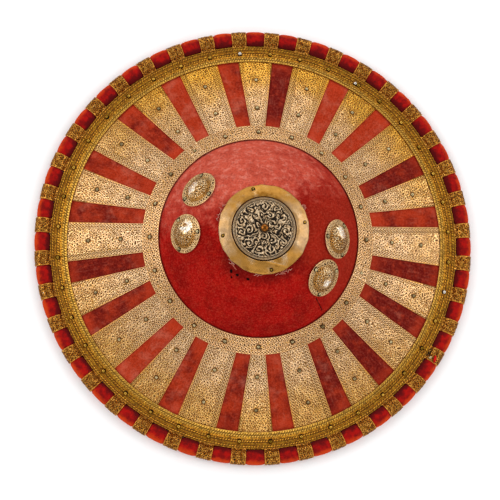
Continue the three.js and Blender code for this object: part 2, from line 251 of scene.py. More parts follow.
def closedTube(rings):
    # Faces round rows of points, with a cap at each end.
    rows, count = rings.shape[:2]
    ids = np.arange(rows * count).reshape(rows, count)
    ids = np.hstack([ids, ids[:, :1]])
    quads = np.stack([ids[:-1, :-1], ids[:-1, 1:], ids[1:, 1:], ids[1:, :-1]], -1).reshape(-1, 4)
    loops = np.concatenate([quads.ravel(), ids[0, -2::-1], ids[-1, :-1]])
    starts = np.concatenate([np.arange(len(quads)) * 4, [quads.size, quads.size + count]])
    return rings.reshape(-1, 3), loops, starts, {}


def unit(vectors):
    return vectors / np.linalg.norm(vectors, axis=1)[:, None]


def ride(piece, slot, *nodes):
    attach(piece, "root")
    if nodes:
        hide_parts(*nodes)
    return piece


def plug(tree, socket, value):
    if isinstance(value, Wire):
        tree.links.new(value.socket, socket)
    else:
        socket.default_value = value


class Wire:
    # A socket that takes part in sums, so that an expression on values adds its Math nodes.
    def __init__(self, tree, socket):
        self.tree, self.socket = tree, socket

    def sum(self, operation, *values):
        node = self.tree.nodes.new("ShaderNodeMath")
        node.operation = operation
        for socket, value in zip(node.inputs, values):
            plug(self.tree, socket, value)
        return Wire(self.tree, node.outputs[0])

    def __add__(self, other):
        return self.sum("ADD", self, other)

    def __radd__(self, other):
        return self.sum("ADD", other, self)

    def __sub__(self, other):
        return self.sum("SUBTRACT", self, other)

    def __rsub__(self, other):
        return self.sum("SUBTRACT", other, self)

    def __mul__(self, other):
        return self.sum("MULTIPLY", self, other)

    def __rmul__(self, other):
        return self.sum("MULTIPLY", other, self)

    def __truediv__(self, other):
        return self.sum("DIVIDE", self, other)

    def __pow__(self, other):
        return self.sum("POWER", self, other)


class Bench:
    # Adds nodes to one tree: the node's type, its settings, then its sockets' values or links.
    def __init__(self, tree):
        self.tree = tree
        tree.nodes.clear()

    def add(self, kind, settings=None, sockets=None, output=0):
        node = self.tree.nodes.new(kind)
        for name, value in (settings or {}).items():
            setattr(node, name, value)
        for name, value in (sockets or {}).items():
            plug(self.tree, node.inputs[name], value)
        return Wire(self.tree, node.outputs[output]) if node.outputs else node

    def mix(self, share, under, over):
        return self.add("ShaderNodeMix", {"data_type": "RGBA"}, {0: share, 6: under, 7: over}, 2)

    def lay(self, colour, share, text):
        # Lays a colour, as six digits, over another by this share.
        return self.mix(share, colour, tint(text))

    def bump(self, strength, distance, height):
        # distance is the relief's depth in millimetres
        sockets = {"Strength": strength, "Distance": distance * millimetre, "Height": height}
        return self.add("ShaderNodeBump", None, sockets)

    def noise(self, where, size, detail=2.0, roughness=0.5):
        # size is the swell of the pattern in millimetres
        return self.add("ShaderNodeTexNoise", None, {
            "Vector": where, "Scale": 1 / (size * millimetre), "Detail": detail, "Roughness": roughness})

    def step(self, value, low, high):
        settings = {"interpolation_type": "SMOOTHSTEP"}
        return self.add("ShaderNodeMapRange", settings, {"Value": value, "From Min": low, "From Max": high})

    def axes(self, vector):
        first = self.add("ShaderNodeSeparateXYZ", None, {0: vector})
        return [Wire(self.tree, socket) for socket in first.socket.node.outputs]

    def vector(self, x, y, z):
        return self.add("ShaderNodeCombineXYZ", None, {0: x, 1: y, 2: z})

    def polar(self):
        # Radius in millimetres and angle in turns about the shield's axis.
        where = self.add("ShaderNodeTexCoord", output=3)
        x, y, z = self.axes(where)
        radius = x.sum("SQRT", x * x + y * y) * (1 / millimetre)
        return where, radius, x.sum("ARCTAN2", y, x) / math.tau, z * (1 / millimetre)

    def mark(self, where, start, end):
        # The distance in millimetres to a line between two spots, each a radius and an angle on the velvet.
        radii, angles = np.array([start, end]).T
        a, b = lifted(radii, angles, 0.0) * millimetre
        span = (b - a).tolist()
        reach = self.add("ShaderNodeVectorMath", {"operation": "SUBTRACT"}, {0: where, 1: a.tolist()})
        share = self.add("ShaderNodeVectorMath", {"operation": "DOT_PRODUCT"}, {0: reach, 1: span}, 1)
        share = share * (1 / max((b - a) @ (b - a), 1e-9))
        share = share.sum("MINIMUM", share.sum("MAXIMUM", share, 0.0), 1.0)
        foot = self.add("ShaderNodeVectorMath", {"operation": "SCALE"}, {0: span, "Scale": share})
        distance = self.add("ShaderNodeVectorMath", {"operation": "DISTANCE"}, {0: reach, 1: foot}, 1)
        return distance * (1 / millimetre)


def tint(text, strength=1.0):
    # A linear colour from the six digits that paint programs use.
    parts = [int(text[i:i + 2], 16) / 255 for i in (0, 2, 4)]
    return [strength * (c / 12.92 if c <= 0.04045 else ((c + 0.055) / 1.055) ** 2.4) for c in parts] + [1.0]


def newFinish(name):
    material = bpy.data.materials.new(name)
    material.use_nodes = True
    return material, Bench(material.node_tree)


def closeFinish(bench, sockets):
    shader = bench.add("ShaderNodeBsdfPrincipled", None, sockets)
    bench.add("ShaderNodeOutputMaterial", None, {"Surface": shader})


def embossedMetal(name, look):
    material, bench = newFinish(name)
    where, radius, turn, _ = bench.polar()
    relief = bench.add("ShaderNodeAttribute", {"attribute_name": "relief"}, None, 2)
    punch = bench.add("ShaderNodeAttribute", {"attribute_name": "punch"}, None, 2)
    broad = bench.noise(where, look["patch"], 3)
    fine = bench.noise(where, 1.3, 2)
    mottle = bench.noise(where, 4.5, 3)
    upper = turn.sum("COSINE", turn * math.tau - 1.41)
    spared = 1 - bench.step(upper, 0.2, 0.8) - bench.step(upper, -0.3, -0.8) * 0.5
    outward = bench.step(radius + (broad - 0.5) * look["uneven"], *look["turnsYellow"])
    outward = outward * (1 - spared * look["spared"])
    ground = bench.mix(outward, tint(look["inner"]), tint(look["outer"]))
    stained = bench.step(broad + (mottle - 0.5) * 0.4, 0.5, 0.7) * look["stainShare"]
    ground = bench.lay(ground, stained, look["stain"])
    speck = bench.step(bench.noise(where, 3.2, 1), 0.5, 0.62) * look["speckShare"]
    ground = bench.lay(ground, speck, look["speck"])
    height = relief + (fine - 0.5) * 0.3
    deep = bench.step(height, *look["deepSpan"])
    pit = bench.step(punch + (mottle - 0.5) * 0.4, *look["pitSpan"])
    moat = bench.step(punch + (mottle - 0.5) * 0.4, *look["moatSpan"]) * look["moatShare"]
    grit = bench.step(bench.noise(where, look["gritSize"], 1), 0.5, 0.3) * look["grit"]
    deep = deep.sum("MAXIMUM", deep.sum("MAXIMUM", deep, grit), deep.sum("MAXIMUM", pit, moat))
    bright = bench.step(height, *look["brightSpan"]) * look["brightShare"]
    # Painted highlight: pale patches towards +X and -X, where the left and right lamps shine; only the collar
    # has a share of it.
    side = turn.sum("ABSOLUTE", turn.sum("COSINE", turn * math.tau - 0.1))
    sideHighlight = bench.step(side + (broad - 0.5) * 1.1, 0.55, 1.1) * look["sideHighlightShare"]
    ground = bench.lay(ground, sideHighlight, look["innerBright"])
    shine = bench.mix(outward, tint(look["innerBright"]), tint(look["outerBright"]))
    colour = bench.mix(bright, ground, shine)
    # Painted highlight: the highest relief values, which the bosses' painted highlights reach, are laid near
    # white.
    colour = bench.lay(colour, bench.step(height, 1.2, 1.5), look["paintedHighlight"])
    colour = bench.lay(colour, deep * look["deepShare"], look["deep"])
    rough = look["rough"] + deep * 0.25 - bright * 0.08 + (broad - 0.5) * 0.15
    bump = bench.bump(look["grain"], 0.4, fine - deep)
    closeFinish(bench, {
        "Base Color": colour, "Metallic": 1 - deep * look["dull"], "Roughness": rough, "Normal": bump,
        "Specular IOR Level": 0.12})
    return material


def plainMetal(name, look):
    # Nail heads and the pin: blotched with a stain and flecked dark. The painted shade round each nail's foot
    # is laid on the plate under it.
    material, bench = newFinish(name)
    where, _, _, _ = bench.polar()
    broad, fine = bench.noise(where, look["patch"], 2), bench.noise(where, 1.6, 2)
    colour = bench.mix(bench.step(broad, 0.35, 0.7), tint(look["main"]), tint(look["stain"]))
    colour = bench.lay(colour, bench.step(fine, 0.62, 0.75) * 0.6, look["deep"])
    bump = bench.bump(0.3, 0.3, fine)
    rough = look["rough"] + broad * 0.15
    closeFinish(bench, {"Base Color": colour, "Metallic": 1.0, "Roughness": rough, "Normal": bump})
    return material


brassLook = {
    "inner": "c28c58", "outer": "b47018", "turnsYellow": (165, 240), "uneven": 60, "spared": 0.65, "patch": 34,
    "stain": "a87238", "stainShare": 0.4, "deep": "3a200a", "deepShare": 0.78, "deepSpan": (0.2, -0.3),
    "pitSpan": (1.3, 0.7), "moatSpan": (1.65, 1.95), "moatShare": 0.95, "grit": 0.2, "gritSize": 2.4,
    "innerBright": "f6d6aa", "outerBright": "ecb84c", "brightSpan": (0.45, 0.85), "brightShare": 0.9,
    "sideHighlightShare": 0.0,
    "speck": "cc9430", "speckShare": 0.5, "paintedHighlight": "f6ecdc", "rough": 0.32, "dull": 0.7, "grain": 0.6,
}
ringLook = dict(brassLook, inner="ba824c", stain="865426", innerBright="f2cc9c", grit=0.4, deepShare=0.9)
bandLook = dict(
    brassLook, inner="b88430", outer="9c6218", turnsYellow=(248.5, 252.5), uneven=4, spared=0,
    stain="6a420c", deep="1e0e02", deepShare=1.0, dull=0.85, innerBright="e0b054", outerBright="dca03c",
    brightShare=0.85, patch=20, grit=0.6, gritSize=3.0, moatShare=0.7, speck="c09024")
toothLook = dict(
    brassLook, inner="804008", outer="804008", stain="563008", deep="1a0b01", innerBright="d89a42",
    outerBright="d89a42", patch=10, deepShare=1.0, dull=0.85, moatShare=1.0, grit=0.5, speck="b07c24")
giltLook = dict(
    brassLook, inner="b07a3c", outer="b07a3c", stain="7c4c18", stainShare=0.85, patch=14, deep="1e0d02",
    innerBright="fcdaa6", outerBright="fcdaa6", deepShare=1.0, moatShare=1.0, brightShare=0.85, grit=0.4,
    speck="b07a2a")
silverLook = dict(
    brassLook, inner="a68864", outer="a68864", stain="76695a", patch=12, deep="1c1209", deepShare=1.0,
    innerBright="e6cba6", outerBright="e6cba6", deepSpan=(0.5, 0.2), brightSpan=(0.6, 1.0), brightShare=0.7,
    rough=0.36, dull=0.95, speck="9c9484", speckShare=0.4)
collarLook = dict(
    giltLook, inner="aa7a38", outer="aa7a38", stain="86581a", stainShare=0.9, patch=13, grain=0.12,
    rough=0.44, innerBright="f0dcbc", outerBright="f0dcbc", brightSpan=(0.7, 0.9), brightShare=0.4,
    sideHighlightShare=0.22, grit=0.1, speckShare=0.12)
embossedBrass = embossedMetal("embossed brass", brassLook)
ringBrass = embossedMetal("ring brass", ringLook)
bandBrass = embossedMetal("band brass", bandLook)
toothBrass = embossedMetal("tooth brass", toothLook)
bossGilt = embossedMetal("boss gilt", giltLook)
collarGilt = embossedMetal("collar gilt", collarLook)
silvered = embossedMetal("silvered metal", silverLook)
nailFinish = {"main": "b48c38", "stain": "6a5014", "deep": "2a1a06", "patch": 9, "rough": 0.14}
nailBrass = plainMetal("nail brass", nailFinish)
dullNail = plainMetal("dull nail", dict(nailFinish, main="b4a47c", stain="645638", deep="221c0c", patch=7))
steelNail = plainMetal("whitened nail", dict(
    nailFinish, main="c9c2b6", stain="8f8578", deep="2a231a", rough=0.12))
pinGilt = plainMetal("pin gilt", dict(nailFinish, main="8c5422", stain="643a10", deep="341a06", rough=0.15))
tabBrass = plainMetal("bent tab", dict(
    nailFinish, main="d8c8a0", stain="a08c60", deep="4a3818", patch=3, rough=0.3))


def closeCloth(bench, colour, bump, sheen, sheenTint, gleam):
    closeFinish(bench, {
        "Base Color": colour, "Roughness": 0.9, "Normal": bump, "Sheen Weight": sheen,
        "Sheen Roughness": 0.3, "Sheen Tint": tint(sheenTint), "Specular IOR Level": gleam})


def velvetCloth(name, look):
    material, bench = newFinish(name)
    where, radius, turn, height = bench.polar()
    broad = bench.noise(where, look["patch"], 3, 0.6)
    worn = bench.noise(where, 9, 4, 0.65)
    nap = bench.noise(where, 2.3, 2)
    fibre = bench.vector(turn * look["streaks"], radius * 0.05, 0.0)
    streak = bench.add("ShaderNodeTexNoise", None, {"Vector": fibre, "Scale": 1.0, "Detail": 3})
    number = turn.sum("FLOOR", turn * 20)
    piece = bench.add("ShaderNodeTexWhiteNoise", {"noise_dimensions": "1D"}, {"W": number})
    onDome = bench.step(radius, 138, 128)
    strip = 1 - onDome
    dark = bench.mix(onDome, tint(look["stripDeep"]), tint(look["domeDeep"]))
    main = bench.mix(onDome, tint(look["strip"]), tint(look["dome"]))
    colour = bench.mix(bench.step(broad + (piece - 0.5) * 0.6 * strip, 0.32, 0.66), dark, main)
    colour = bench.lay(colour, bench.step(worn, 0.45, 0.75) * (0.25 + 0.35 * strip), look["warm"])
    haze = bench.step(bench.noise(where, 21, 3, 0.6) + (piece - 0.5) * 0.2, 0.5, 0.8) * strip
    colour = bench.lay(colour, haze * look["hazeShare"], look["pale"])
    rise, side = height.sum("SINE", turn * math.tau), height.sum("COSINE", turn * math.tau)
    # The dome is laid browner towards +X.
    brownedAndShaded = bench.step(side + (broad - 0.5) * 0.6, 0.55, 1.0) * onDome
    colour = bench.lay(colour, brownedAndShaded * 0.6, look["brownedAndShaded"])
    # Painted sheen: the dome is laid paler pink towards its top, +Y, as if lit there by the top lamp, with the
    # palest pink over part of that.
    paintedSheen = rise - side * 0.25 + (broad - 0.5) * 1.2 + (worn - 0.5) * 0.5
    paintedSheen = bench.step(paintedSheen, *look["paintedSheenSpan"]) * onDome
    colour = bench.lay(colour, paintedSheen * look["paintedSheenShare"], look["paintedSheen"])
    colour = bench.lay(colour, paintedSheen * bench.step(worn, 0.46, 0.7) * 0.5, look["palestSheen"])
    streaked = bench.step(streak, 0.5, 0.85) * (look["streakShare"] * (0.25 + 0.75 * strip))
    colour = bench.lay(colour, streaked, look["pale"])
    colour = bench.lay(colour, bench.step(nap, 0.48, 0.75) * (look["napShare"] * 0.35), look["pale"])
    colour = bench.lay(colour, bench.step(nap, 0.55, 0.3) * look["napShare"], look["soil"])
    ends = bench.step(radius, 170, 148) + bench.step(radius + (broad - 0.5) * 40, 222, 246)
    colour = bench.lay(colour, ends * strip * look["endShare"], look["ends"])
    grime = bench.step(radius + (worn - 0.5) * 26, 74, 60) * bench.step(rise + (broad - 0.5), -0.2, -0.8)
    foot = bench.step(radius + (worn - 0.5) * 4, 124.5, 127.5) * onDome
    soiled = grime.sum("MAXIMUM", grime * 0.55, foot * 0.7)
    colour = bench.lay(colour, soiled * look["soilShare"], look["soil"])
    torn = 0.0
    for start, end, reach in look["holes"]:
        torn = bench.step(bench.mark(where, start, end) + (nap - 0.5) * 1.0, reach, reach * 0.6) + torn
    colour = bench.lay(colour, torn, look["hole"])
    scraped = 0.0
    for start, end, reach in look["scrapes"]:
        line = bench.step(bench.mark(where, start, end) + (nap - 0.5) * 1.6, reach, reach * 0.3)
        scraped = line + scraped
    colour = bench.lay(colour, scraped * 0.65, look["pale"])
    bump = bench.bump(0.6, 0.6, nap + streak * 0.4 + worn - torn * 2.0)
    closeCloth(bench, colour, bump, look["sheen"], look["sheenTint"], 0.05)
    return material


velvetLook = {
    "stripDeep": "64100a", "strip": "9e2c12", "domeDeep": "820603", "dome": "9e0b06", "warm": "a8341c",
    "brownedAndShaded": "8a2410", "paintedSheen": "c25440", "paintedSheenShare": 0.85, "paintedSheenSpan": (0.15, 1.15), "pale": "c4705a",
    "palestSheen": "d88474", "ends": "bc3a1e", "endShare": 0.4, "patch": 30, "streaks": 520, "streakShare": 0.2,
    "napShare": 0.3, "hazeShare": 0.4, "soil": "2a0403", "soilShare": 0.85, "sheen": 0.05,
    "sheenTint": "c04030",
    "hole": "0e0202", "holes": [
        ((65.0, 232.0), (66.0, 232.8), 2.2), ((65.4, 239.7), (65.0, 240.6), 2.0),
        ((64.2, 252.3), (64.2, 253.4), 1.9), ((70.5, 236.0), (71.3, 236.6), 1.2),
        ((105.7, 310.8), (121.8, 310.7), 0.8)],
    "scrapes": [
        ((108.8, 62.6), (118.5, 54.0), 1.1), ((91.4, 40.8), (110.3, 35.5), 0.9),
        ((57.0, 292.0), (60.5, 296.0), 1.2), ((58.5, 228.0), (60.5, 236.0), 0.9),
        ((217.9, 330.5), (225.7, 334.4), 0.8)],
}
velvet = velvetCloth("velvet", velvetLook)
liningLook = dict(
    velvetLook, stripDeep="4a2219", strip="5c2c20", domeDeep="4a2219", dome="5c2c20", warm="68382a",
    brownedAndShaded="5c2c20", paintedSheen="6b3c2e", pale="7c4f40", ends="5c2c20", holes=[], scrapes=[], soilShare=0.4)
lining = velvetCloth("lining", liningLook)


def rimVelvetCloth(name, look):
    material, bench = newFinish(name)
    where, radius, _, height = bench.polar()
    broad = bench.noise(where, 8, 4, 0.65)
    nap = bench.noise(where, 0.9, 2)
    colour = bench.mix(bench.step(broad, 0.35, 0.65), tint(look["deep"]), tint(look["main"]))
    # The roll is laid darker on its inner side, partly the nap's own colour and partly painted shade, and
    # orange on its upper outer side, partly faded nap and partly painted sheen.
    colour = bench.lay(colour, bench.step(radius + (broad - 0.5) * 12, 274, 268), look["inner"])
    outward = bench.step(radius + (broad - 0.5) * 9, 278, 285) * bench.step(height, 1, 5)
    colour = bench.lay(colour, outward, look["outer"])
    bump = bench.bump(0.6, 0.5, nap + broad)
    closeCloth(bench, colour, bump, 0.1, "e04420", 0.15)
    return material


# The rim roll's inner colour stands partly for painted shade on its inner side, and its outer colour partly
# for painted sheen on its upper outer side.
rimVelvetLook = {"inner": "560205", "deep": "720302", "main": "9e0802", "outer": "bc3604"}
tornLook = {"inner": "c4100a", "deep": "a00a06", "main": "c4100a", "outer": "c4100a"}
rimVelvet = rimVelvetCloth("rim velvet", rimVelvetLook)
tornVelvet = rimVelvetCloth("torn velvet", tornLook)


def leatherHide(name, look):
    material, bench = newFinish(name)
    where, _, _, _ = bench.polar()
    broad, grain = bench.noise(where, 18, 4), bench.noise(where, 1.6, 3, 0.6)
    colour = bench.mix(bench.step(broad, 0.35, 0.7), tint(look["deep"]), tint(look["main"]))
    colour = bench.lay(colour, bench.step(grain, 0.55, 0.8) * 0.5, look["worn"])
    bump = bench.bump(0.5, 0.5, grain)
    closeFinish(bench, {"Base Color": colour, "Roughness": 0.5 + grain * 0.3, "Normal": bump})
    return material


leather = leatherHide("leather", {"deep": "3c1f10", "main": "6a3d22", "worn": "99683f"})
frayedThread = leatherHide("frayed thread", {"deep": "b86a58", "main": "dca892", "worn": "f4e4d8"})
thread = leatherHide("thread", {"deep": "9a8560", "main": "c9b184", "worn": "e2d3ae"})


def paleFloor(name):
    material, bench = newFinish(name)
    closeFinish(bench, {"Base Color": [0.9, 0.9, 0.9, 1.0], "Roughness": 0.7, "Specular IOR Level": 0.2})
    return material


print("stage: finishes made")

shellLook = {"columns": (2, 11, 7, 11, 7), "puff": 0.9, "dents": 0.5, "faceSkin": 1.8, "liningGap": 0.05}


def faceRows():
    inner = np.linspace(0, 124, 45)[1:]
    foot = np.linspace(124, plan["stripInner"], 9)[1:]
    outward = np.linspace(plan["stripInner"], plan["stripOuter"], 34)[1:]
    trough = np.linspace(plan["stripOuter"], plan["edge"][0], 7)[1:]
    return np.concatenate([inner, foot, outward, trough])


def shellGrid(radii, columns):
    turns = [sectorColumns(radii, index, columns)[:, :-1] for index in range(plan["sectors"])]
    angles = np.hstack(turns)
    return np.repeat(radii[:, None], angles.shape[1], 1), angles


def stripPuff(radius, angle):
    # How far the padded velvet swells inside its opening: 1 in the middle, 0 at the edges and elsewhere.
    half = sectorSize / 2
    turn = np.mod(angle, 2 * half)
    turn = np.where(turn > half, 2 * half - turn, turn)
    near, far = straightEdge(radius, plan["near"]), straightEdge(radius, plan["far"])
    across = np.clip((turn - near) / (far - near), 0, 1) * 2 - 1
    length = plan["stripOuter"] - plan["stripInner"]
    outward = np.clip((radius - plan["stripInner"]) / length, 0, 1) * 2 - 1
    return (1 - across ** 4) * (1 - outward ** 12)


def makeVelvetFace():
    radius, angle = shellGrid(faceRows(), shellLook["columns"])
    x, y = planPoints(radius, angle)
    swell = wavy(x, y, 36, 3) * 0.35 + wavy(x, y, 13, 4) * 0.2
    onDome = 1 - smoothstep(118, 128, radius)
    puff = stripPuff(radius, angle)
    lift = onDome * swell * shellLook["dents"] * 2 + puff * (shellLook["puff"] + swell * 0.4)
    lift = lift - 0.1 * (1 - onDome) * (puff == 0)
    front = lifted(radius, angle, lift)
    back = lifted(radius[::2, ::2], angle[::2, ::2], 0 * radius[::2, ::2] - shellLook["faceSkin"])
    return buildMesh("velvetFace", slab(front, back, 2, around=True, hub=True), [velvet])


def makeLining():
    radii = np.concatenate([np.linspace(2, 126, 26), np.linspace(126, plan["edge"][0] - 0.6, 26)[1:]])
    radius, angle = np.meshgrid(radii, np.arange(200) * 1.8, indexing="ij")
    sag = 0.15 * wavy(*planPoints(radius, angle), 22, 8)
    front = lifted(radius, angle, 0 * radius - shellLook["faceSkin"] - shellLook["liningGap"])
    back = lifted(radius, angle, 0 * radius - plan["thickness"] + 0.2 + sag)
    return buildMesh("lining", slab(front, back, 1, around=True, hub=True), [lining])


ride(makeVelvetFace(), "velvet", "shell")
ride(makeLining(), "velvet")
print("stage: velvet face and lining")

reliefLook = {
    "ringPitch": 3.7, "ringSize": 1.3, "lip": 0.6, "swirlReach": 8.2, "rowPitch": 4.0,
    "rowInsets": (3.1, 7.0),
    "wide": {"scrollStep": 13.5, "scrollSide": 8.8, "border": 9.0},
    "narrow": {"scrollStep": 20, "scrollSide": 1.5, "border": 5.1},
}


def lipped(relief, punch, edge, span=(0.8, 1.5), level=0.62, plain=1.45):
    # A smooth raised lip along an edge.
    lip = 1 - smoothstep(*span, edge)
    return relief * (1 - lip) + level * lip, np.where(lip > 0.3, plain, punch)


def paintedFootShade(punch, x, y, reach, bearings, span):
    # Paints shade on the ground round the feet of the nails at these bearings.
    for bearing in bearings:
        footX, footY = planSpot(reach, bearing)
        punch = np.where(np.hypot(x - footX, y - footY) < span, 0.0, punch)
    return punch


def embossedSlab(front, back, relief, punch, step=4, **kind):
    return slab(front, back, step, {"relief": relief, "punch": punch}, **kind)


def ringPunch(distance, size):
    # A raised ring round a small pit.
    return hump(distance - size, size * 0.55) - 0.4 * hump(distance, size * 0.7)


def ringRow(alongEdge, offset, pitch, shift=0.0):
    # How far each point is from the nearest ring of a row.
    step = np.mod(alongEdge / pitch + shift, 1) - 0.5
    return np.hypot(step * pitch, offset)


def ringGround(x, y, pitch, seed):
    # The same for rings scattered close together: a hexagonal layout that is pushed about.
    x = x + wavy(x, y, 15, seed) * pitch * 0.35
    y = y + wavy(x, y, 17, seed + 1) * pitch * 0.35
    best = np.full(x.shape, 9.0)
    high = pitch * math.sqrt(3)
    for shiftX, shiftY in ((0, 0), (pitch / 2, high / 2)):
        u = np.mod(x + shiftX, pitch) - pitch / 2
        v = np.mod(y + shiftY, high) - high / 2
        best = np.minimum(best, np.hypot(u, v))
    return best


def nearestScroll(x, y, centres):
    # The distance and winding direction to the nearest scroll's centre, and the distance to the next one.
    distance, second, turn = np.full(x.shape, 1e3), np.full(x.shape, 1e3), 0 * x
    for cx, cy, hand in centres:
        here = np.hypot(x - cx, y - cy)
        closer = here < distance
        second = np.where(closer, distance, np.minimum(second, here))
        turn = np.where(closer, hand * np.arctan2(y - cy, x - cx), turn)
        distance = np.where(closer, here, distance)
    return distance, second, turn


def ringScrolls(x, y, centres, pitch):
    # Rings set along scrolls that wind round their nearest centre.
    distance, _, turn = nearestScroll(x, y, centres)
    winding = distance / pitch - turn / math.tau
    lap = np.round(winding)
    crest = np.maximum((lap + turn / math.tau) * pitch, 0)
    run = np.mod(math.pi * crest * crest / pitch / pitch, 1) - 0.5
    return np.hypot((winding - lap) * pitch, run * pitch), distance


def panelPlace(radius, angle):
    # The nearest panel, the distance across it from its middle line, and its half width there.
    half = sectorSize / 2
    panel = np.round(angle / half)
    across = np.radians(angle - panel * half) * radius
    near, far = straightEdge(radius, plan["near"]), straightEdge(radius, plan["far"])
    width = np.radians(np.where(np.mod(panel, 2) == 0, near, half - far)) * radius
    return panel, across, width


def panelRelief(radius, angle):
    # Heights of the relief, and the distance to the nearest punched ring for the finish.
    panel, across, width = panelPlace(radius, angle)
    outward = radius - plan["stripInner"]
    edge = width - np.abs(across)
    height, punch = np.zeros(radius.shape), np.full(radius.shape, 9.0)
    pitch, rowPitch = reliefLook["ringPitch"], reliefLook["rowPitch"]
    nearRow, farRow = reliefLook["rowInsets"]
    for which in np.unique(panel):
        here = panel == which
        x, y, e = across[here], outward[here], edge[here]
        seed = int(which) * 7 + 11
        dice = np.random.default_rng(seed)
        wide = int(which) % 2 == 0
        kind = reliefLook["wide" if wide else "narrow"]
        centres = []
        for i, level in enumerate(np.arange(10, 100, kind["scrollStep"])):
            hand = 1 if i % 2 else -1
            side = kind["scrollSide"] * hand + dice.uniform(-1.5, 1.5)
            centres.append((side, level + dice.uniform(-2, 2), hand))
        bend = wavy(x, y, 20, seed + 5) * 0.9
        curled, distance = ringScrolls(x + bend, y - bend, centres, pitch)
        rings = np.where(distance < reliefLook["swirlReach"], curled, ringGround(x, y, pitch, seed))
        rows = ringRow(y, e - nearRow, rowPitch, dice.uniform())
        rows = np.minimum(rows, ringRow(y, e - farRow, rowPitch, dice.uniform())) if wide else rows
        rings = np.where(e < kind["border"], rows, rings)
        lip = reliefLook["lip"], reliefLook["lip"] + 0.6
        embossed, _ = lipped(ringPunch(rings, reliefLook["ringSize"]), rings, e, lip)
        height[here] = np.where(e < 0, 0.5, embossed)
        punch[here] = np.where(e < 0.9, 1.45, rings)
    return height, punch


def nailReach(radius, angle, seat, spacing, phase=0.0):
    # The distance to the nearest nail of a ring of nails.
    turn = np.mod(angle - phase + spacing / 2, spacing) - spacing / 2
    return np.hypot(np.radians(turn) * radius, radius - seat)


def seated(relief, punch, distance):
    # Calms the relief round a nail and paints shade at the nail's foot.
    return relief * (1 - 0.7 * hump(distance, 5.2)), np.where(distance < 2.9, 0.0, punch)


plateLook = {
    "columns": (12, 36, 44, 36, 52), "rows": 144, "tuckRows": 4, "tuck": 3.6, "step": 4, "grainDepth": 0.65,
    "seamGap": 0.03, "nailRadii": (216, 174.4), "nailSpacing": 18, "tongues": (3, 9),
}
tongueLook = {"inner": 126.8, "outer": 151, "half": 3.5, "foot": 146.5}


def makeFieldPlate(index):
    counts, step, tuck = plateLook["columns"], plateLook["step"], plateLook["tuck"]
    radii = np.concatenate([
        np.linspace(plan["stripInner"] - tuck, plan["stripInner"], plateLook["tuckRows"] + 1)[:-1],
        np.linspace(plan["stripInner"], plan["stripOuter"], plateLook["rows"] + 1),
        np.linspace(plan["stripOuter"], plan["stripOuter"] + tuck, plateLook["tuckRows"] + 1)[1:],
    ])
    angle = sectorColumns(radii, index, counts)
    angle[:, 0] += plateLook["seamGap"]
    angle[:, -1] -= plateLook["seamGap"]
    radius = np.repeat(radii[:, None], angle.shape[1], 1)
    relief, punch = panelRelief(radius, angle)
    covered = smoothstep(0, 1.5, radius - plan["stripInner"])
    covered = covered * smoothstep(0, 1.5, plan["stripOuter"] - radius)
    for ring in plateLook["nailRadii"]:
        relief, punch = seated(relief, punch, nailReach(radius, angle, ring, plateLook["nailSpacing"]))
    base = plan["clearance"] + plan["plate"]
    buckle = 0.18 * wavy(*planPoints(radius, angle), 30, 21)
    lift = base - 0.25 + plateLook["grainDepth"] * relief * (0.25 + 0.75 * covered) + buckle * covered
    front = lifted(radius, angle, lift)
    back = lifted(radius[::step, ::step], angle[::step, ::step], plan["clearance"])
    blocks = [count // step for count in counts]
    kept = np.ones(((len(radii) - 1) // step, sum(blocks)), bool)
    stops = np.cumsum([0] + blocks)
    tuckBlocks = plateLook["tuckRows"] // step
    for strip in (1, 3):
        kept[tuckBlocks:-tuckBlocks, stops[strip]:stops[strip + 1]] = False
    parts = [embossedSlab(front, back, relief, punch, step, kept=kept)]
    if index in plateLook["tongues"]:
        parts.append(makeTongue((index + 0.5) * sectorSize))
    return buildMesh(f"fieldPlate{index + 1:02d}", joined(parts), [embossedBrass])


def makeTongue(centre):
    inner, outer, half = tongueLook["inner"], tongueLook["outer"], tongueLook["half"]
    radius, angle = np.meshgrid(
        np.linspace(inner, outer, 37), centre + np.linspace(-half, half, 25), indexing="ij")
    across = np.radians(angle - centre) * radius
    edge = np.minimum(radius - inner, outer - radius) + 0.4
    edge = np.minimum(np.radians(half) * radius - np.abs(across), edge)
    punch = ringGround(across, radius, 3.9, int(centre))
    relief, punch = lipped(ringPunch(punch, 1.3), punch, edge)
    top = np.interp(radius, [inner, tongueLook["foot"], outer], [1.9, 3.4, 1.9]) + 0.25
    front = lifted(radius, angle, top + 0.6 * relief)
    back = lifted(radius[::4, ::4], angle[::4, ::4], top[::4, ::4] - 0.9)
    return embossedSlab(front, back, relief, punch)


for index in range(plan["sectors"]):
    ride(makeFieldPlate(index), "embossed_brass", f"field_plate_{index + 1:02d}")
print("stage: field plates")

ringPlan = {
    "inner": 126.8, "outer": 146.5, "middle": 137, "lifts": (0.9, 2.4), "rows": 28, "pitch": 0.78,
    "nailRadius": 136.8, "nailSpacing": 18, "left": (129.6, 338.4), "right": (345.6, 482.4),
}


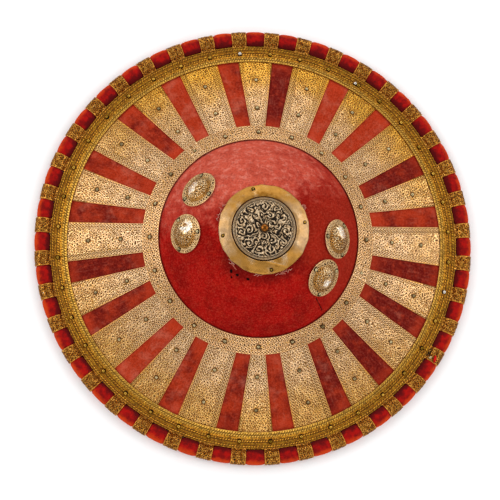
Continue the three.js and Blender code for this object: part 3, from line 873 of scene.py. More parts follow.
def makeRingHalf(name, start, end):
    radii = np.linspace(ringPlan["inner"], ringPlan["outer"], ringPlan["rows"] + 1)
    count = int(round(math.radians(end - start) * ringPlan["middle"] / ringPlan["pitch"] / 4)) * 4
    radius, angle = np.meshgrid(radii, np.linspace(start, end, count + 1), indexing="ij")
    length = np.radians(angle) * ringPlan["middle"]
    inward, outward = radius - ringPlan["inner"], ringPlan["outer"] - radius
    rows = np.minimum(ringRow(length, inward - 2.9, 3.8), ringRow(length, outward - 2.9, 3.8, 0.4))
    punch = np.where(np.minimum(inward, outward) < 4.8, rows, ringGround(length, radius, 3.9, 91))
    relief, punch = lipped(ringPunch(punch, 1.3), punch, np.minimum(inward, outward))
    nails = nailReach(radius, angle, ringPlan["nailRadius"], ringPlan["nailSpacing"])
    relief, punch = seated(relief, punch, nails)
    under = np.interp(radius, [ringPlan["inner"], ringPlan["outer"]], ringPlan["lifts"])
    crown = 0.5 * np.sin(math.pi * inward / (ringPlan["outer"] - ringPlan["inner"]))
    front = lifted(radius, angle, under + 0.75 + crown + 0.6 * relief)
    back = lifted(radius[::4, ::4], angle[::4, ::4], under[::4, ::4])
    return buildMesh(name, embossedSlab(front, back, relief, punch), [ringBrass])


ride(makeRingHalf("innerRingLeft", *ringPlan["left"]), "embossed_brass", "inner_ring_left")
ride(makeRingHalf("innerRingRight", *ringPlan["right"]), "embossed_brass", "inner_ring_right")
print("stage: inner ring")

bandLayout = {
    "inner": 244.0, "outer": 265.4, "middle": 255, "sweep": 35.9, "rows": 28, "pitch": 0.78, "stipple": 2.7,
    "beads": (249.0, 246.2, 255.3, 262.3), "beadPitch": 3.5, "nailRadius": 255.5,
    "grooves": ((251.4, 0.5, 1.15), (259.0, 0.65, 1.0)),
    "teeth": 4, "toothSpacing": 9, "tornTooth": 36, "toothHalf": 1.98, "toothCentre": 275.7,
    "toothReach": 9.9, "toothHeight": 8.4, "toothBase": 5.98, "toothRoot": 263.9, "toothLine": 275,
}


def bandTop(radius):
    return faceHeight(radius) + np.interp(radius, [244.0, 252.0, 258.5, 265.4], [3.2, 2.2, 1.4, 1.4])


def bandRelief(radius, angle):
    length = np.radians(angle) * bandLayout["middle"]
    punch = ringGround(length, radius, bandLayout["stipple"], 33)
    relief = 0.45 * ringPunch(punch, 0.9) + 0.35 + 0.2 * wavy(length, radius * 2.5, 4, 31)
    punch = np.maximum(punch + 0.6, 1.1)
    for i, line in enumerate(bandLayout["beads"]):
        offset = radius - line
        beads = ringRow(length + i * 1.4 + offset * 0.7, offset, bandLayout["beadPitch"])
        near = np.abs(offset) < bandLayout["beadPitch"] / 2
        relief = np.where(near, 1.1 * hump(beads, 1.7), relief)
        punch = np.where(near, np.where(beads < 1.15, 1.45, beads + 0.45), punch)
    for line, width, left in bandLayout["grooves"]:
        dip = hump(radius - line, width)
        relief, punch = relief - 0.6 * dip, np.where(dip > 0.3, np.minimum(punch, left), punch)
    return lipped(relief, punch, radius - bandLayout["inner"], (0.7, 1.3), 0.7)


def makeTooth(middle, index):
    # A strip of the band that is bent over the rim roll, followed from its root to its tip.
    half, centre = bandLayout["toothHalf"], bandLayout["toothCentre"]
    angles = middle + np.linspace(-half, half, 25)
    turns = np.radians(np.linspace(-6, 150, 33))
    reach = centre + bandLayout["toothReach"] * np.cos(turns)
    height = bandLayout["toothBase"] + bandLayout["toothHeight"] * np.sin(turns)
    nearRoot = np.linspace(0, 1, 5)[1:]
    rootReach, rootHeight = bandLayout["toothRoot"], faceHeight(bandLayout["toothRoot"]) + 1.2
    reach = np.concatenate([reach, reach[-1] + (rootReach - reach[-1]) * nearRoot])[::-1]
    height = np.concatenate([height, height[-1] + (rootHeight - height[-1]) * nearRoot])[::-1]
    run = np.concatenate([[0], np.cumsum(np.hypot(np.diff(reach), np.diff(height)))])
    outX, outZ = np.gradient(height, run) * -1, np.gradient(reach, run)
    size = np.hypot(outX, outZ)
    outX, outZ = (outX / size)[:, None], (outZ / size)[:, None]
    across = np.radians(angles - middle) * bandLayout["toothLine"]
    gridRun, gridAcross = np.meshgrid(run, across, indexing="ij")
    punch = ringGround(gridAcross, gridRun, 3.1, 200 + index) * 1.15
    relief = ringPunch(punch, 1.2) + 0.2 * wavy(gridAcross, gridRun, 6, 300 + index)
    edge = np.radians(half) * bandLayout["toothLine"] - np.abs(gridAcross)
    relief, punch = lipped(relief, punch, edge, (0.8, 1.6), 0.7, 1.35)
    if index == bandLayout["tornTooth"]:
        torn = 1 - smoothstep(2.2, 3.2, np.hypot(gridAcross * 0.5, gridRun - 2.6))
        relief, punch = relief - torn, np.where(torn > 0.4, 0.0, punch)
    lift = -0.3 + 0.75 * relief
    front = ringPoints(reach[:, None] + outX * lift, angles, height[:, None] + outZ * lift)
    thin = -0.95 + 0 * lift
    back = ringPoints(reach[:, None] + outX * thin, angles, height[:, None] + outZ * thin)[::4, ::4]
    return embossedSlab(front, back, relief, punch)


def makeOuterBand(index):
    sweep, spacing = bandLayout["sweep"], bandLayout["toothSpacing"]
    start = index * sectorSize + plan["seam"] + 0.05
    radii = np.linspace(bandLayout["inner"], bandLayout["outer"], bandLayout["rows"] + 1)
    count = int(round(math.radians(sweep) * bandLayout["middle"] / bandLayout["pitch"] / 4)) * 4
    radius, angle = np.meshgrid(radii, np.linspace(start, start + sweep, count + 1), indexing="ij")
    relief, punch = bandRelief(radius, angle)
    ends = np.radians(np.minimum(angle - start, start + sweep - angle)) * radius
    punch = np.where(ends < 0.5, np.minimum(punch, 1.0), punch)
    nails = nailReach(radius, angle, bandLayout["nailRadius"], spacing, plan["seam"])
    relief, punch = seated(relief, punch, nails)
    front = ringPoints(radius, angle, bandTop(radius) - 0.2 + 0.6 * relief)
    back = ringPoints(radius[::4, ::4], angle[::4, ::4], bandTop(radius[::4, ::4]) - 0.9)
    parts = [embossedSlab(front, back, relief, punch)]
    for tooth in range(bandLayout["teeth"]):
        number = index * bandLayout["teeth"] + tooth
        parts.append(makeTooth(plan["seam"] + number * spacing, number))
    shape = joined(parts)
    item = buildMesh(f"outerBand{index + 1:02d}", shape, [bandBrass, toothBrass])
    onTooth = np.zeros(len(shape[2]), np.int32)
    onTooth[len(parts[0][2]):] = 1
    item.data.polygons.foreach_set("material_index", onTooth)
    return item


for index in range(plan["sectors"]):
    ride(makeOuterBand(index), "band_brass", f"outer_band_{index + 1:02d}")
print("stage: outer bands")


def newTree(name, inputs):
    tree = bpy.data.node_groups.new(name, "GeometryNodeTree")
    bench = Bench(tree)
    tree.interface.new_socket("Geometry", in_out="OUTPUT", socket_type="NodeSocketGeometry")
    tree.interface.new_socket("Geometry", in_out="INPUT", socket_type="NodeSocketGeometry")
    for label, kind in inputs.items():
        tree.interface.new_socket(label, in_out="INPUT", socket_type="NodeSocket" + kind)
    entry = bench.add("NodeGroupInput")
    wires = {socket.name: Wire(tree, socket) for socket in entry.socket.node.outputs if socket.name}
    return bench, wires


def endTree(bench, shape, finish):
    solid = bench.add("GeometryNodeRealizeInstances", None, {0: shape})
    rounded = bench.add("GeometryNodeSetShadeSmooth", None, {0: solid})
    painted = bench.add("GeometryNodeSetMaterial", None, {"Geometry": rounded, "Material": finish})
    bench.add("NodeGroupOutput", None, {0: painted})
    return bench.tree


def grown(name, tree, values, seats=None, facing=None):
    # Runs a tree on bare seats and keeps what it grows as a plain mesh.
    mesh = bpy.data.meshes.new(name)
    if seats is not None:
        mesh.from_pydata([tuple(seat) for seat in np.asarray(seats) * millimetre], [], [])
        layer = mesh.attributes.new("facing", "FLOAT_VECTOR", "POINT")
        layer.data.foreach_set("vector", np.asarray(facing, np.float32).ravel())
    item = bpy.data.objects.new(name, mesh)
    bpy.context.scene.collection.objects.link(item)
    modifier = item.modifiers.new("grow", "NODES")
    modifier.node_group = tree
    for socket in tree.interface.items_tree:
        if socket.item_type == "SOCKET" and socket.in_out == "INPUT" and socket.name in values:
            modifier[socket.identifier] = values[socket.name]
    graph = bpy.context.evaluated_depsgraph_get()
    result = bpy.data.meshes.new_from_object(item.evaluated_get(graph), depsgraph=graph)
    item.modifiers.remove(modifier)
    item.data = result
    result.name = name
    return item


def nailTree():
    inputs = {"Size": "Float", "Rise": "Float", "Uneven": "Float", "Finish": "Material"}
    bench, given = newTree("nail heads", inputs)
    head = bench.add("GeometryNodeMeshUVSphere", None, {"Segments": 10, "Rings": 6, "Radius": given["Size"]})
    flat = bench.vector(1.0, 1.0, given["Rise"])
    head = bench.add("GeometryNodeTransform", None, {"Geometry": head, "Scale": flat})
    facing = bench.add("GeometryNodeInputNamedAttribute", {"data_type": "FLOAT_VECTOR"}, {"Name": "facing"})
    turn = bench.add("FunctionNodeAlignRotationToVector", {"axis": "Z"}, {"Vector": facing})
    low, high = 1 - given["Uneven"], 1 + given["Uneven"]
    size = bench.add("FunctionNodeRandomValue", {"data_type": "FLOAT"}, {2: low, 3: high, "Seed": 5}, 1)
    placed = bench.add("GeometryNodeInstanceOnPoints", None, {
        "Points": given["Geometry"], "Instance": head, "Rotation": turn, "Scale": size})
    return endTree(bench, placed, given["Finish"])


nailHeads = nailTree()


def growNails(name, slotName, look, seats, facing):
    values = {"Size": look["size"] * millimetre, "Rise": look["rise"], "Uneven": look["uneven"]}
    return ride(grown(name, nailHeads, dict(values, Finish=look["finish"]), seats, facing), slotName)


def nailsOn(name, slotName, look, radius, angles, lift):
    # Nails on the face at these angles, standing square to it.
    radii, angles = np.full(len(angles), float(radius)), np.array(angles, float)
    facing = lifted(radii, angles, 1.0) - lifted(radii, angles, 0.0)
    growNails(name, slotName, look, lifted(radii, angles, lift), facing)


nailLook = {"size": 2.8, "rise": 0.85, "uneven": 0.1, "finish": nailBrass}
whitenedLook = dict(nailLook, finish=steelNail)
panelNail = dict(nailLook, size=2.5, rise=0.95, finish=dullNail)
nailPlaces = {
    "whitened": (58.5, 94.5, 346.5), "second": (57.4,), "bandLift": 2.4, "panelLift": 1.5, "ringLift": 3.2,
}
bandAngles = plan["seam"] + bandLayout["toothSpacing"] * np.arange(40)
bandAngles = [angle for angle in bandAngles if angle not in nailPlaces["whitened"]]
panelAngles = plateLook["nailSpacing"] * np.arange(20)
nailRing, nailLift = bandLayout["nailRadius"], nailPlaces["bandLift"]
nailsOn("bandNails", "band_brass", nailLook, nailRing, bandAngles, nailLift)
nailsOn("secondNail", "band_brass", nailLook, nailRing, nailPlaces["second"], nailLift)
nailsOn("whitenedNails", "band_brass", whitenedLook, nailRing, nailPlaces["whitened"], nailLift)
for name, radius in zip(("outerPanelNails", "innerPanelNails"), plateLook["nailRadii"]):
    nailsOn(name, "embossed_brass", panelNail, radius, panelAngles, nailPlaces["panelLift"])
nailRing, nailLift = ringPlan["nailRadius"], nailPlaces["ringLift"]
nailsOn("ringNails", "embossed_brass", panelNail, nailRing, panelAngles, nailLift)
print("stage: nails")

rollLook = {
    "Centre": 275.7, "Half width": 9.9, "Half height": 8.4, "Recess": 1.5, "Squares": 40.0,
    "Brass half angle": 2.1, "First": 4.5, "Crease": 0.35, "Around": 640, "Section": 26,
}


def rollTree():
    # A grid that is wrapped into the roll: tucked under each tooth and puffed between them.
    names = {label: "Int" if label in ("Around", "Section") else "Float" for label in rollLook}
    bench, given = newTree("rim roll", {**names, "Finish": "Material"})
    grid = bench.add("GeometryNodeMeshGrid", None, {
        "Size X": 1.0, "Size Y": 1.0, "Vertices X": given["Around"], "Vertices Y": given["Section"]})
    place = bench.add("GeometryNodeInputPosition")
    across, up, _ = bench.axes(place)
    angle, up = (across + 0.5) * 360, up + 0.5
    share = (angle - given["First"]) * given["Squares"] / 360 + 0.5
    fraction = share.sum("FRACT", share) - 0.5
    distance = share.sum("ABSOLUTE", fraction) * 360 / given["Squares"]
    reach = 180 * (given["Squares"] ** -1.0) - given["Brass half angle"]
    inside = (distance - given["Brass half angle"]) / reach
    inside = share.sum("MAXIMUM", share.sum("MINIMUM", inside, 1.0), 0.0)
    rest = 1 - inside
    bulge = share.sum("SQRT", 1 - rest * rest * rest)
    turn = up * math.tau
    noise = bench.add("ShaderNodeTexNoise", None, {
        "Vector": bench.vector(angle * 0.55, up * 9.0, 0.0), "Scale": 1.0, "Detail": 2.0})
    crease = (noise - 0.5) * given["Crease"] * 2 * (0.35 + rest)
    inset = given["Recess"] * (1 - bulge) + crease
    width, height = given["Half width"] - inset, given["Half height"] - inset
    radius = given["Centre"] + width * share.sum("COSINE", turn)
    level = height * (share.sum("SINE", turn) + 0.866)
    level = share.sum("MAXIMUM", level, 0.0)
    course = angle * (math.pi / 180)
    x, y = radius * share.sum("COSINE", course), radius * share.sum("SINE", course)
    moved = bench.add("GeometryNodeSetPosition", None, {
        "Geometry": grid, "Position": bench.vector(x * millimetre, y * millimetre, level * millimetre)})
    closed = bench.add("GeometryNodeMergeByDistance", None, {"Geometry": moved, "Distance": 0.00001})
    return endTree(bench, closed, given["Finish"])


roll = grown("rimRoll", rollTree(), dict(rollLook, Finish=rimVelvet))
ride(roll, "rim_velvet", "rim_roll")
print("stage: rim roll")

bossLook = {
    "radius": 24.5, "distance": 95.5, "angles": (146, 181.5, 356, 324), "rings": 40, "sides": 160, "seat": 20,
    "profile": [(0, 7.6), (3, 7.3), (6.5, 6.2), (11, 4.0), (16, 1.9), (18, 1.3), (24.5, 0.5)],
    "craters": ((4, 2, 4.5, 0.8), (-0.5, -8.5, 4.6, 4.4), (-8, 1, 2.6, 1.6), (5, -1, 4.6, 3.0)),
    "paintedHighlight": ((-6, 2, 9.5), (5, 9, 9.5), (3, 8, 9.5), (3, -4, 7)), "brownedAndShaded": (-45, -85, -120, -170),
    "nailReach": 20.6, "nailBearings": (180, 60, 300), "nailLift": 1.1, "footShadeShift": 0.9, "footShadeSpan": 3.0,
    "nail": dict(nailLook, size=2.4, rise=0.8, finish=dullNail),
}


def bossLean():
    # The slope of the dome under the bosses.
    seat, distance = bossLook["seat"], bossLook["distance"]
    return math.atan2(faceHeight(distance - seat) - faceHeight(distance + seat), 2 * seat)


def bossFrame(angle):
    # The boss's own axes on the dome: outward down the slope, round the shield, and out of the face.
    distance, lean, turn = bossLook["distance"], bossLean(), math.radians(angle)
    c, s = math.cos(turn), math.sin(turn)
    outward = np.array([c * math.cos(lean), s * math.cos(lean), -math.sin(lean)])
    aside = np.array([-s, c, 0.0])
    up = np.array([c * math.sin(lean), s * math.sin(lean), math.cos(lean)])
    return np.array([c * distance, s * distance, faceHeight(distance)]), outward, aside, up


def roundGrid(radius, rings, sides, inner=0.35):
    reach = np.concatenate([[inner], np.linspace(inner, radius, rings + 1)[1:]])
    return np.meshgrid(reach, np.arange(sides) * 360 / sides, indexing="ij")


def roundPlate(front, back, relief, punch):
    # A closed round plate from rings of points, with a coarser back and a cap at each end of the axis.
    return embossedSlab(front, back[::4, ::4], relief, punch, around=True, hub=True)


def bossTones(number, x, y, reach, right, high):
    # Where a boss gets a painted highlight, pale on its side to the light, and where it gets painted shade in
    # brown, on the other.
    highlightRight, highlightHigh, highlightReach = bossLook["paintedHighlight"][number]
    paintedHighlight = np.hypot(right - highlightRight, high - highlightHigh) / highlightReach + 0.15 * wavy(x, y, 7, 530 + number)
    paintedHighlight = (1 - smoothstep(0.7, 1.05, paintedHighlight)) * (1 - smoothstep(17, 19, reach))
    course = math.radians(bossLook["brownedAndShaded"][number])
    brownedAndShaded = right * math.cos(course) + high * math.sin(course) + 3 * wavy(x, y, 9, 540 + number)
    return paintedHighlight, smoothstep(0, 6, brownedAndShaded) * (1 - smoothstep(17, 20, reach)) * (1 - paintedHighlight)


def makeBoss(number, angle):
    reach, turn = roundGrid(bossLook["radius"], bossLook["rings"], bossLook["sides"])
    x, y = planPoints(reach, turn)
    level = np.interp(reach, *np.array(bossLook["profile"]).T)
    punch = ringGround(x, y, 3.5, 400 + number) * 1.1
    relief = ringPunch(punch, 1.25) * 0.9
    fluted = 0.5 + 0.5 * np.cos(np.radians(turn) * 24)
    onCone = 1 - smoothstep(13.5, 15, reach)
    flutes = 0.55 * fluted * smoothstep(3, 9, reach) + 0.35 * wavy(x, y, 3.2, 500 + number)
    relief = relief * (1 - 0.55 * onCone) + onCone * (0.3 + flutes)
    relief, punch = lipped(relief, punch, bossLook["radius"] - reach, (0.7, 1.3), 0.62, 1.4)
    # The painted shade at a nail's foot reaches further to the plate's edge.
    footShadeReach = bossLook["nailReach"] + bossLook["footShadeShift"]
    punch = paintedFootShade(punch, x, y, footShadeReach, bossLook["nailBearings"], bossLook["footShadeSpan"])
    dentX, dentY, dentReach, dentDepth = bossLook["craters"][number]
    away = np.hypot(x - dentX, y - dentY)
    dent = dentDepth * np.exp(-(away / dentReach) ** 2) * (1 + 0.25 * wavy(x, y, 8, 77 + number))
    rise = level - dent - 0.15 + 0.5 * relief
    under = np.minimum(1 - reach / bossLook["radius"] * 1.6, rise - 0.4)
    origin, outward, aside, up = bossFrame(angle)
    flat = origin + x[..., None] * outward + y[..., None] * aside
    front, back = flat + rise[..., None] * up, flat + under[..., None] * up
    c, s = planSpot(1, angle)
    ahead = ((x - dentX) * s + (y - dentY) * c) / np.maximum(away, 0.5)
    # Painted highlight on the boss's side to the light and painted shade in brown on the other, laid into the
    # relief values that the finish reads.
    paintedHighlight, brownedAndShaded = bossTones(number, x, y, reach, x * c - y * s, x * s + y * c)
    rim = 0.6 * smoothstep(16.5, 19.5, reach) - 0.4 * (punch < 1.2)
    relief = np.maximum(relief * (1 - 0.35 * brownedAndShaded), rim)
    relief = relief * (1 - 0.6 * paintedHighlight) + (1.3 - 0.35 * (punch < 0.9)) * paintedHighlight
    # Painted shade on each crater's upper wall, which faces down, and painted highlight on its lower wall.
    relief = relief - 0.3 * dentDepth * ahead * hump(away - dentReach * 0.75, 2.2)
    punch = punch + (1.45 - punch) * 0.75 * paintedHighlight * (punch > 0)
    item = buildMesh(f"boss{number + 1}", roundPlate(front, back, relief, punch), [bossGilt])
    ride(item, "boss_gilt", f"boss_{number + 1}")
    seats = []
    for bearing in bossLook["nailBearings"]:
        c, s = planSpot(1, bearing)
        seats.append(origin + bossLook["nailReach"] * (c * outward + s * aside) + bossLook["nailLift"] * up)
    growNails(f"bossNails{number + 1}", "boss_gilt", bossLook["nail"], seats, [up] * len(seats))


for number, angle in enumerate(bossLook["angles"]):
    makeBoss(number, angle)
print("stage: bosses")

collarPlan = {
    "inner": 40.3, "outer": 56.4, "rows": 22, "sides": 300, "crease": ((41.0, 271.8), (57.6, 304.6)),
    "top": [(40.3, 138.7), (41.3, 139.4), (44, 139.0), (50, 136.9), (56.4, 134.5)],
    "under": [(40.3, 135.8), (56.4, 131.3)], "nailReach": 51.5, "nailAngles": (105, 190, 280, 10),
    "nailHeight": 136.1, "footShadeSpan": 2.4, "nail": dict(nailLook, size=1.5, rise=0.9),
}


def makeCollar():
    reach, turn = np.meshgrid(
        np.linspace(collarPlan["inner"], collarPlan["outer"], collarPlan["rows"] + 1),
        np.arange(collarPlan["sides"]) * 360 / collarPlan["sides"], indexing="ij")
    x, y = planPoints(reach, turn)
    top = np.interp(reach, *np.array(collarPlan["top"]).T)
    hammered = 0.35 * wavy(x, y, 22, 61) + 0.1 * wavy(x, y, 10, 62) + 0.02 * wavy(x, y, 4, 63)
    outerLip = 1 - smoothstep(0.3, 1.2, collarPlan["outer"] - reach)
    start, end = [planSpot(*spot) for spot in collarPlan["crease"]]
    ahead = (end - start) / np.linalg.norm(end - start)
    share = (x - start[0]) * ahead[0] + (y - start[1]) * ahead[1]
    off = (y - start[1]) * ahead[0] - (x - start[0]) * ahead[1]
    onCrease = smoothstep(-8, 2, share) * (1 - smoothstep(26, 34, share))
    hammered = hammered + onCrease * 0.9 * smoothstep(-0.4, 0.4, off) * np.exp(-np.clip(off, 0, None) / 5)
    trimmed = -0.5 * np.abs(wavy(turn, 0 * turn, 33, 64)) * outerLip
    front = ringPoints(reach + trimmed, turn, top - 0.4 + hammered * (1 - outerLip) - 0.3 * outerLip)
    under = np.minimum(np.interp(reach, *np.array(collarPlan["under"]).T), top - 1.2)
    back = ringPoints(reach + trimmed, turn, under)[::2, ::2]
    # Along the foot of the crease the relief values dip, a dark line of painted shade in the fold.
    relief = np.clip(0.66 + hammered * 0.25, 0.4, 1) - 0.5 * onCrease * hump(off + 0.3, 0.9)
    nails, nailReach = collarPlan["nailAngles"], collarPlan["nailReach"]
    # Painted shade round the feet of the collar's nails.
    punch = paintedFootShade(np.full(relief.shape, 1.45), x, y, nailReach, nails, collarPlan["footShadeSpan"])
    shape = embossedSlab(front, back, relief, punch, 2, around=True)
    ride(buildMesh("collar", shape, [collarGilt]), "collar_gilt", "collar")
    seats = [(*planSpot(nailReach, angle), collarPlan["nailHeight"]) for angle in nails]
    growNails("collarNails", "collar_gilt", collarPlan["nail"], seats, [(0, 0, 1)] * len(seats))


makeCollar()

discLook = {
    "radius": 39.6, "rings": 84, "sides": 320, "circles": ((11, 28.0), (6, 18.0), (3, 9.4)),
    "jitter": 1.7, "depth": 1.8, "pitch": 3.9, "stems": [
        ((20.7, 87), (30.1, 74)), ((20.7, 87), (30.2, 99)), ((16.3, 108), (7.0, 92)),
        ((31.0, 150), (26.0, 134)), ((26.0, 134), (19.5, 122)), ((31.5, 195), (20.4, 204)),
        ((20.4, 204), (8.5, 201)), ((9.5, 311), (29.4, 288)), ((12.0, 20), (27.0, 33)),
        ((10.0, 340), (29.0, 328)), ((14.0, 252), (31.0, 246))],
}


def discStems(x, y):
    # The distance to the nearest stem, and which side of it the point is on.
    nearest, side = np.full(x.shape, 1e3), 0 * x
    for ends in discLook["stems"]:
        start, end = [planSpot(*spot) for spot in ends]
        length = np.linalg.norm(end - start)
        ahead, offX, offY = (end - start) / length, x - start[0], y - start[1]
        share = np.clip(offX * ahead[0] + offY * ahead[1], 0, length)
        here = np.hypot(offX - share * ahead[0], offY - share * ahead[1])
        side = np.where(here < nearest, offX * ahead[1] - offY * ahead[0], side)
        nearest = np.minimum(nearest, here)
    return nearest, side


def makeDisc():
    reach, turn = roundGrid(discLook["radius"], discLook["rings"], discLook["sides"])
    x, y = planPoints(reach, turn)
    dice = np.random.default_rng(7)
    centres = []
    for count, ring in discLook["circles"]:
        start = dice.uniform(0, math.tau)
        for k in range(count):
            bearing = start + math.tau * k / count
            push = dice.uniform(-discLook["jitter"], discLook["jitter"], 2)
            spot = ring * math.cos(bearing) + push[0], ring * math.sin(bearing) + push[1]
            centres.append((*spot, dice.choice((-1, 1))))
    bentX, bentY = x + 0.8 * wavy(x, y, 9, 71), y + 0.8 * wavy(x, y, 9, 72)
    distance, second, winding = nearestScroll(bentX, bentY, centres)
    pitch = discLook["pitch"] + 0.6 * wavy(x, y, 14, 73)
    scroll = 0.5 + 0.5 * np.cos(math.tau * (distance / pitch) - winding)
    leaf = 0.5 + 0.5 * np.cos(np.radians(turn) * 22 + 3.2 * wavy(x, y, 8, 74))
    leafy = smoothstep(5.2, 6.6, distance)
    relief = smoothstep(0.1, 0.75, scroll * (1 - leafy) + leaf * leafy)
    uneven = np.clip(0.82 + 0.35 * wavy(x, y, 5, 75), 0.3, 1.1)
    relief = relief * smoothstep(0.0, 0.7, second - distance) * uneven
    stem, side = discStems(bentX, bentY)
    relief = np.where((stem < 2.6) & (side > 0), np.maximum(relief, hump(stem - 1.7, 0.9)), relief)
    relief = relief * smoothstep(0.4, 0.9, stem)
    hub = 1 - smoothstep(5.4, 6.4, reach)
    relief = relief * (1 - hub) + 0.25 * hub
    border = hump(reach - 34.7, 0.9) * (0.85 + 0.25 * wavy(x, y, 4, 76))
    border = np.maximum(hump(reach - 38.3, 1.3) * 0.62, border)
    onBorder = smoothstep(35.2, 35.9, reach) * (1 - smoothstep(39.0, 39.4, reach))
    relief = np.maximum(relief * (1 - smoothstep(33.6, 34.2, reach)), np.maximum(border, 0.36 * onBorder))
    base = np.interp(reach, [0, 20, 35, 39.6], [139.6, 139.2, 138.2, 137.6])
    front = ringPoints(reach, turn, base + discLook["depth"] * relief + hump(reach - 38.0, 1.7) * 0.8)
    under = np.interp(reach, [0, 20, 39.6], [138.0, 137.6, 136.2])
    back = ringPoints(reach, turn, np.minimum(under, base - 0.6))
    shape = roundPlate(front, back, relief, np.full(relief.shape, 1.45))
    ride(buildMesh("disc", shape, [silvered]), "silvered", "disc")


makeDisc()

pinLook = {"radius": 4.9, "rise": 3.5, "centre": 144.1, "seat": 140.5, "sides": 28}


def makePin():
    turns = np.linspace(0, math.pi, 15)[1:-1]
    reach, level = pinLook["radius"] * np.sin(turns), pinLook["centre"] - pinLook["rise"] * np.cos(turns)
    angles = np.arange(pinLook["sides"]) * 360 / pinLook["sides"]
    rise = np.maximum(level, pinLook["seat"])[:, None] + 0 * angles
    around = reach[:, None] * (1 + 0.03 * wavy(angles[None, :] / 30, rise, 3, 81))
    ride(buildMesh("pin", closedTube(ringPoints(around, angles, rise)), [pinGilt]), "collar_gilt", "pin")


makePin()
print("stage: collar, disc and pin")

frayLook = {
    "spots": [
        (57, 155, 7), (57, 166, 3), (56.5, 229, 6), (58, 292, 9), (58, 300, 5), (57.5, 31, 6), (57, 36, 3),
        (57, 262, 4)],
    "length": 6.5, "radius": 0.24, "sides": 4, "beads": 8,
}


def tube(line, radius, sides):
    # A thin closed tube round a line of points.
    line = np.array(line, float)
    ahead = unit(np.gradient(line, axis=0))
    side = unit(np.cross(ahead, (0.3, 0.1, 1.0)))
    up = np.cross(side, ahead)
    turns = (np.arange(sides) * math.tau / sides)[None, :, None]
    radius = np.broadcast_to(radius, len(line))[:, None, None]
    around = np.cos(turns) * side[:, None] + np.sin(turns) * up[:, None]
    return closedTube(line[:, None] + radius * around)


def makeFray():
    # Threads that have worked loose from under the collar's edge.
    dice = np.random.default_rng(17)
    parts = []
    for radius, angle, count in frayLook["spots"]:
        for _ in range(count):
            reach, turn = radius + dice.uniform(-1, 0.5), angle + dice.uniform(-5, 5)
            heading, line = dice.choice((-1.2, 1.2)) + dice.uniform(-0.4, 0.4), []
            for step in range(frayLook["beads"]):
                lift = 0.5 + 1.2 * math.sin(math.pi * step / (frayLook["beads"] - 1)) * dice.uniform(0.5, 1)
                line.append(lifted(np.array([reach]), np.array([turn]), lift)[0])
                heading += dice.uniform(-0.45, 0.45)
                stride = frayLook["length"] / frayLook["beads"] * dice.uniform(0.5, 1.1)
                reach = max(reach + stride * math.cos(heading), 55.5)
                turn += math.degrees(stride * math.sin(heading) / reach)
            parts.append(tube(line, frayLook["radius"], frayLook["sides"]))
    ride(buildMesh("frayedThreads", joined(parts), [frayedThread]), "velvet")


makeFray()

tearLook = {
    "tuft": ((278.6, 326.6, 15.6), (277.6, 327.2, 17.4), (276.2, 327.8, 18.0), (275.2, 328.5, 17.3)),
    "tab": ((268.6, 327.0, 13.0), (270.4, 327.2, 15.6), (272.2, 327.7, 16.4)),
}


def makeTear(name, spots, thickness, material, slotName):
    # Velvet that pokes out beside a torn tooth, and the bent scrap of brass next to it.
    spots = np.array(spots)
    share = np.linspace(0, 1, 9)
    line = ringPoints(*[np.interp(share, np.linspace(0, 1, len(spots)), column) for column in spots.T])
    bulge = thickness * (0.35 + 0.65 * np.sin(math.pi * share)) * (1 + 0.18 * np.sin(share * 17))
    ride(buildMesh(name, tube(line, bulge, 10), [material]), slotName)


makeTear("tornTuft", tearLook["tuft"], 2.0, tornVelvet, "rim_velvet")
makeTear("bentTab", tearLook["tab"], 1.7, tabBrass, "band_brass")
print("stage: loose threads")

strapLook = {
    "width": 27, "thickness": 3.4, "steps": 44, "drop": 6, "stitch": 3.6, "inset": 3.0, "ends": 12,
    "pairs": {"forearmStrap": ("forearm_strap", 163.75, 66), "handStrap": ("hand_strap", 340, 52)},
    "stitchLook": {"size": 0.42, "rise": 2.6, "uneven": 0.08, "finish": thread},
}


def throughPoints(points, count):
    # A smooth line through the points, evenly shared between them.
    points = np.array(points, float)
    padded = np.vstack([points[0], points, points[-1]])
    line = []
    for share in np.linspace(0, len(points) - 1, count):
        i = min(int(share), len(points) - 2)
        t = share - i
        a, b, c, d = padded[i], padded[i + 1], padded[i + 2], padded[i + 3]
        v0, v1 = (c - a) / 2, (d - b) / 2
        cubic, square = 2 * b - 2 * c + v0 + v1, -3 * b + 3 * c - 2 * v0 - v1
        line.append(cubic * t ** 3 + square * t ** 2 + v0 * t + b)
    return np.array(line)


def insideHeight(radius):
    slope = np.interp(radius, profileRadii, profileSlopes)
    return faceHeight(radius) - plan["thickness"] * np.sqrt(1 + slope * slope) - 0.6


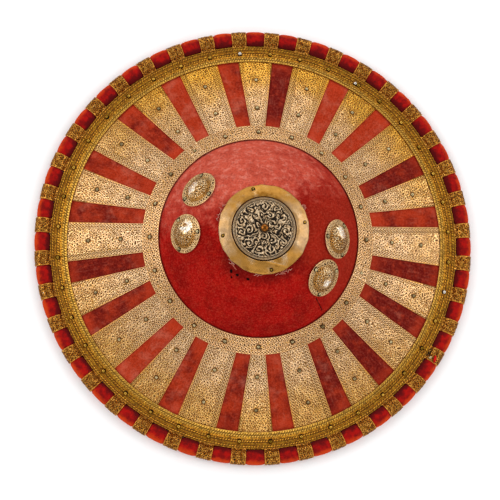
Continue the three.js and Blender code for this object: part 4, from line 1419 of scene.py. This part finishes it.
def makeStrap(name, node, angle, reach):
    folded = [(-16, 1), (-34, 6), (-44, reach * 0.3), (-36, reach * 0.75)]
    path = throughPoints(folded + [(0, reach)] + [(-x, y) for x, y in reversed(folded)], strapLook["steps"])
    ahead = unit(np.gradient(path, axis=0))
    side = np.stack([-ahead[:, 1], ahead[:, 0]], 1)
    half, thick = strapLook["width"] / 2, strapLook["thickness"] / 2
    upper = [(-half + 0.5, thick * 0.8), (-half + 1.6, thick), (-half / 3, thick)]
    upper += [(-x, y) for x, y in reversed(upper)]
    section = [(-half, 0), *upper, (half, 0), *[(x, -y) for x, y in reversed(upper)]]
    seat = bossLook["distance"]
    lean = bossLean()
    turn = math.radians(angle)

    def placed(across, inward):
        # across the strap's width, and its plan position from the path
        x, y, z = across, inward[:, 0], -inward[:, 1]
        x, z = x * math.cos(lean) + z * math.sin(lean), -x * math.sin(lean) + z * math.cos(lean)
        x, z = x + seat, z + faceHeight(seat) - strapLook["drop"]
        x, y = x * math.cos(turn) - y * math.sin(turn), x * math.sin(turn) + y * math.cos(turn)
        return np.stack([x, y, np.minimum(z, insideHeight(np.hypot(x, y)))], -1)

    rings = [placed(np.full(len(path), across), path + side * depth) for across, depth in section]
    ride(buildMesh(name, closedTube(np.stack(rings, 1)), [leather]), "leather", node)
    run = np.concatenate([[0], np.cumsum(np.linalg.norm(np.diff(path, axis=0), axis=1))])
    seats, facing = [], []
    for place in np.arange(strapLook["ends"], run[-1] - strapLook["ends"], strapLook["stitch"]):
        spot = np.array([[np.interp(place, run, column) for column in path.T]])
        off = np.array([[np.interp(place, run, column) for column in side.T]])
        way = np.array([[off[0, 1], -off[0, 0]]])
        for across in (-half + strapLook["inset"], half - strapLook["inset"]):
            here = placed(np.array([across]), spot - off * (thick + 0.05))
            there = placed(np.array([across]), spot - off * (thick + 0.05) + way * 0.5)
            seats.append(here[0])
            facing.append(there[0] - here[0])
    growNails(name + "Stitches", "leather", strapLook["stitchLook"], seats, facing)


for name, (node, angle, reach) in strapLook["pairs"].items():
    makeStrap(name, node, angle, reach)
print("stage: straps")


def makeFloor():
    mesh = bpy.data.meshes.new("floor")
    mesh.from_pydata([(-4, -4, 0), (4, -4, 0), (4, 4, 0), (-4, 4, 0)], [], [(0, 1, 2, 3)])
    floor = bpy.data.objects.new("floor", mesh)
    floor.location.z = -0.0005
    mesh.materials.append(paleFloor("floor"))
    bpy.context.scene.collection.objects.link(floor)
    floor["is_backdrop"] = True


def makeLamp(name, place, size, watts):
    light = bpy.data.lights.new(name, "AREA")
    light.shape, light.size, light.energy = "SQUARE", size, watts
    lamp = bpy.data.objects.new(name, light)
    lamp.location = place
    lamp.rotation_euler = (-Vector(place)).to_track_quat("-Z", "Y").to_euler()
    bpy.context.scene.collection.objects.link(lamp)


def makeSky(look):
    # A white room that is dimmer overhead, behind the camera.
    world = bpy.data.worlds.new("sky")
    world.use_nodes = True
    bench = Bench(world.node_tree)
    where = bench.add("ShaderNodeTexCoord")
    overhead = bench.step(bench.axes(where)[2], *look["dimFrom"])
    strength = look["wall"] + overhead * (look["overhead"] - look["wall"])
    glow = bench.add("ShaderNodeBackground", None, {"Color": [1.0, 1.0, 1.0, 1.0], "Strength": strength})
    bench.add("ShaderNodeOutputWorld", None, {"Surface": glow})
    bpy.context.scene.world = world


# The camera is so many shield radii away, and a radius is so many pixels in the picture.
cameraPlan = {
    "tilt": -8.72, "swing": 5.01, "aim": (0, 0, 0.008), "radius": 0.285, "radiiAway": 8.0,
    "radiusPixels": 218.55, "centre": (254.95, 244.6), "picture": 500,
}


def makeCamera():
    tilt, swing = math.radians(cameraPlan["tilt"]), math.radians(cameraPlan["swing"])
    c, s = math.cos(tilt), math.sin(tilt)
    tilted = np.array([[1, 0, 0], [0, c, -s], [0, s, c]])
    c, s = math.cos(swing), math.sin(swing)
    axes = tilted @ np.array([[c, 0, s], [0, 1, 0], [-s, 0, c]])
    size, (centreX, centreY) = cameraPlan["picture"], cameraPlan["centre"]
    camera = bpy.data.cameras.new("camera")
    camera.lens = cameraPlan["radiusPixels"] * cameraPlan["radiiAway"] / size * camera.sensor_width
    camera.shift_x, camera.shift_y = (size / 2 - centreX) / size, (centreY - size / 2) / size
    item = bpy.data.objects.new("camera", camera)
    matrix = np.eye(4)
    matrix[:3, :3] = axes.T
    matrix[:3, 3] = np.array(cameraPlan["aim"]) + cameraPlan["radiiAway"] * cameraPlan["radius"] * axes[2]
    item.matrix_world = Matrix(matrix.tolist())
    bpy.context.scene.collection.objects.link(item)
    bpy.context.scene.camera = item


makeFloor()
makeSky({"wall": 0.95, "overhead": 0.55, "dimFrom": (0.6, 0.95)})
windows = {
    "left window": ((-2.4, 0.6, 2.1), 28), "right window": ((2.4, 0.4, 2.1), 24),
    "top window": ((0.2, 2.6, 1.9), 20), "low window": ((0.1, -2.6, 1.9), 16),
}
for name, (place, watts) in windows.items():
    makeLamp(name, place, 1.9, watts)
makeCamera()
bpy.context.scene.view_settings.view_transform = "Standard"

triangles = [len(item.data.loops) - 2 * len(item.data.polygons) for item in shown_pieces()]
print("stage: triangles", sum(triangles))
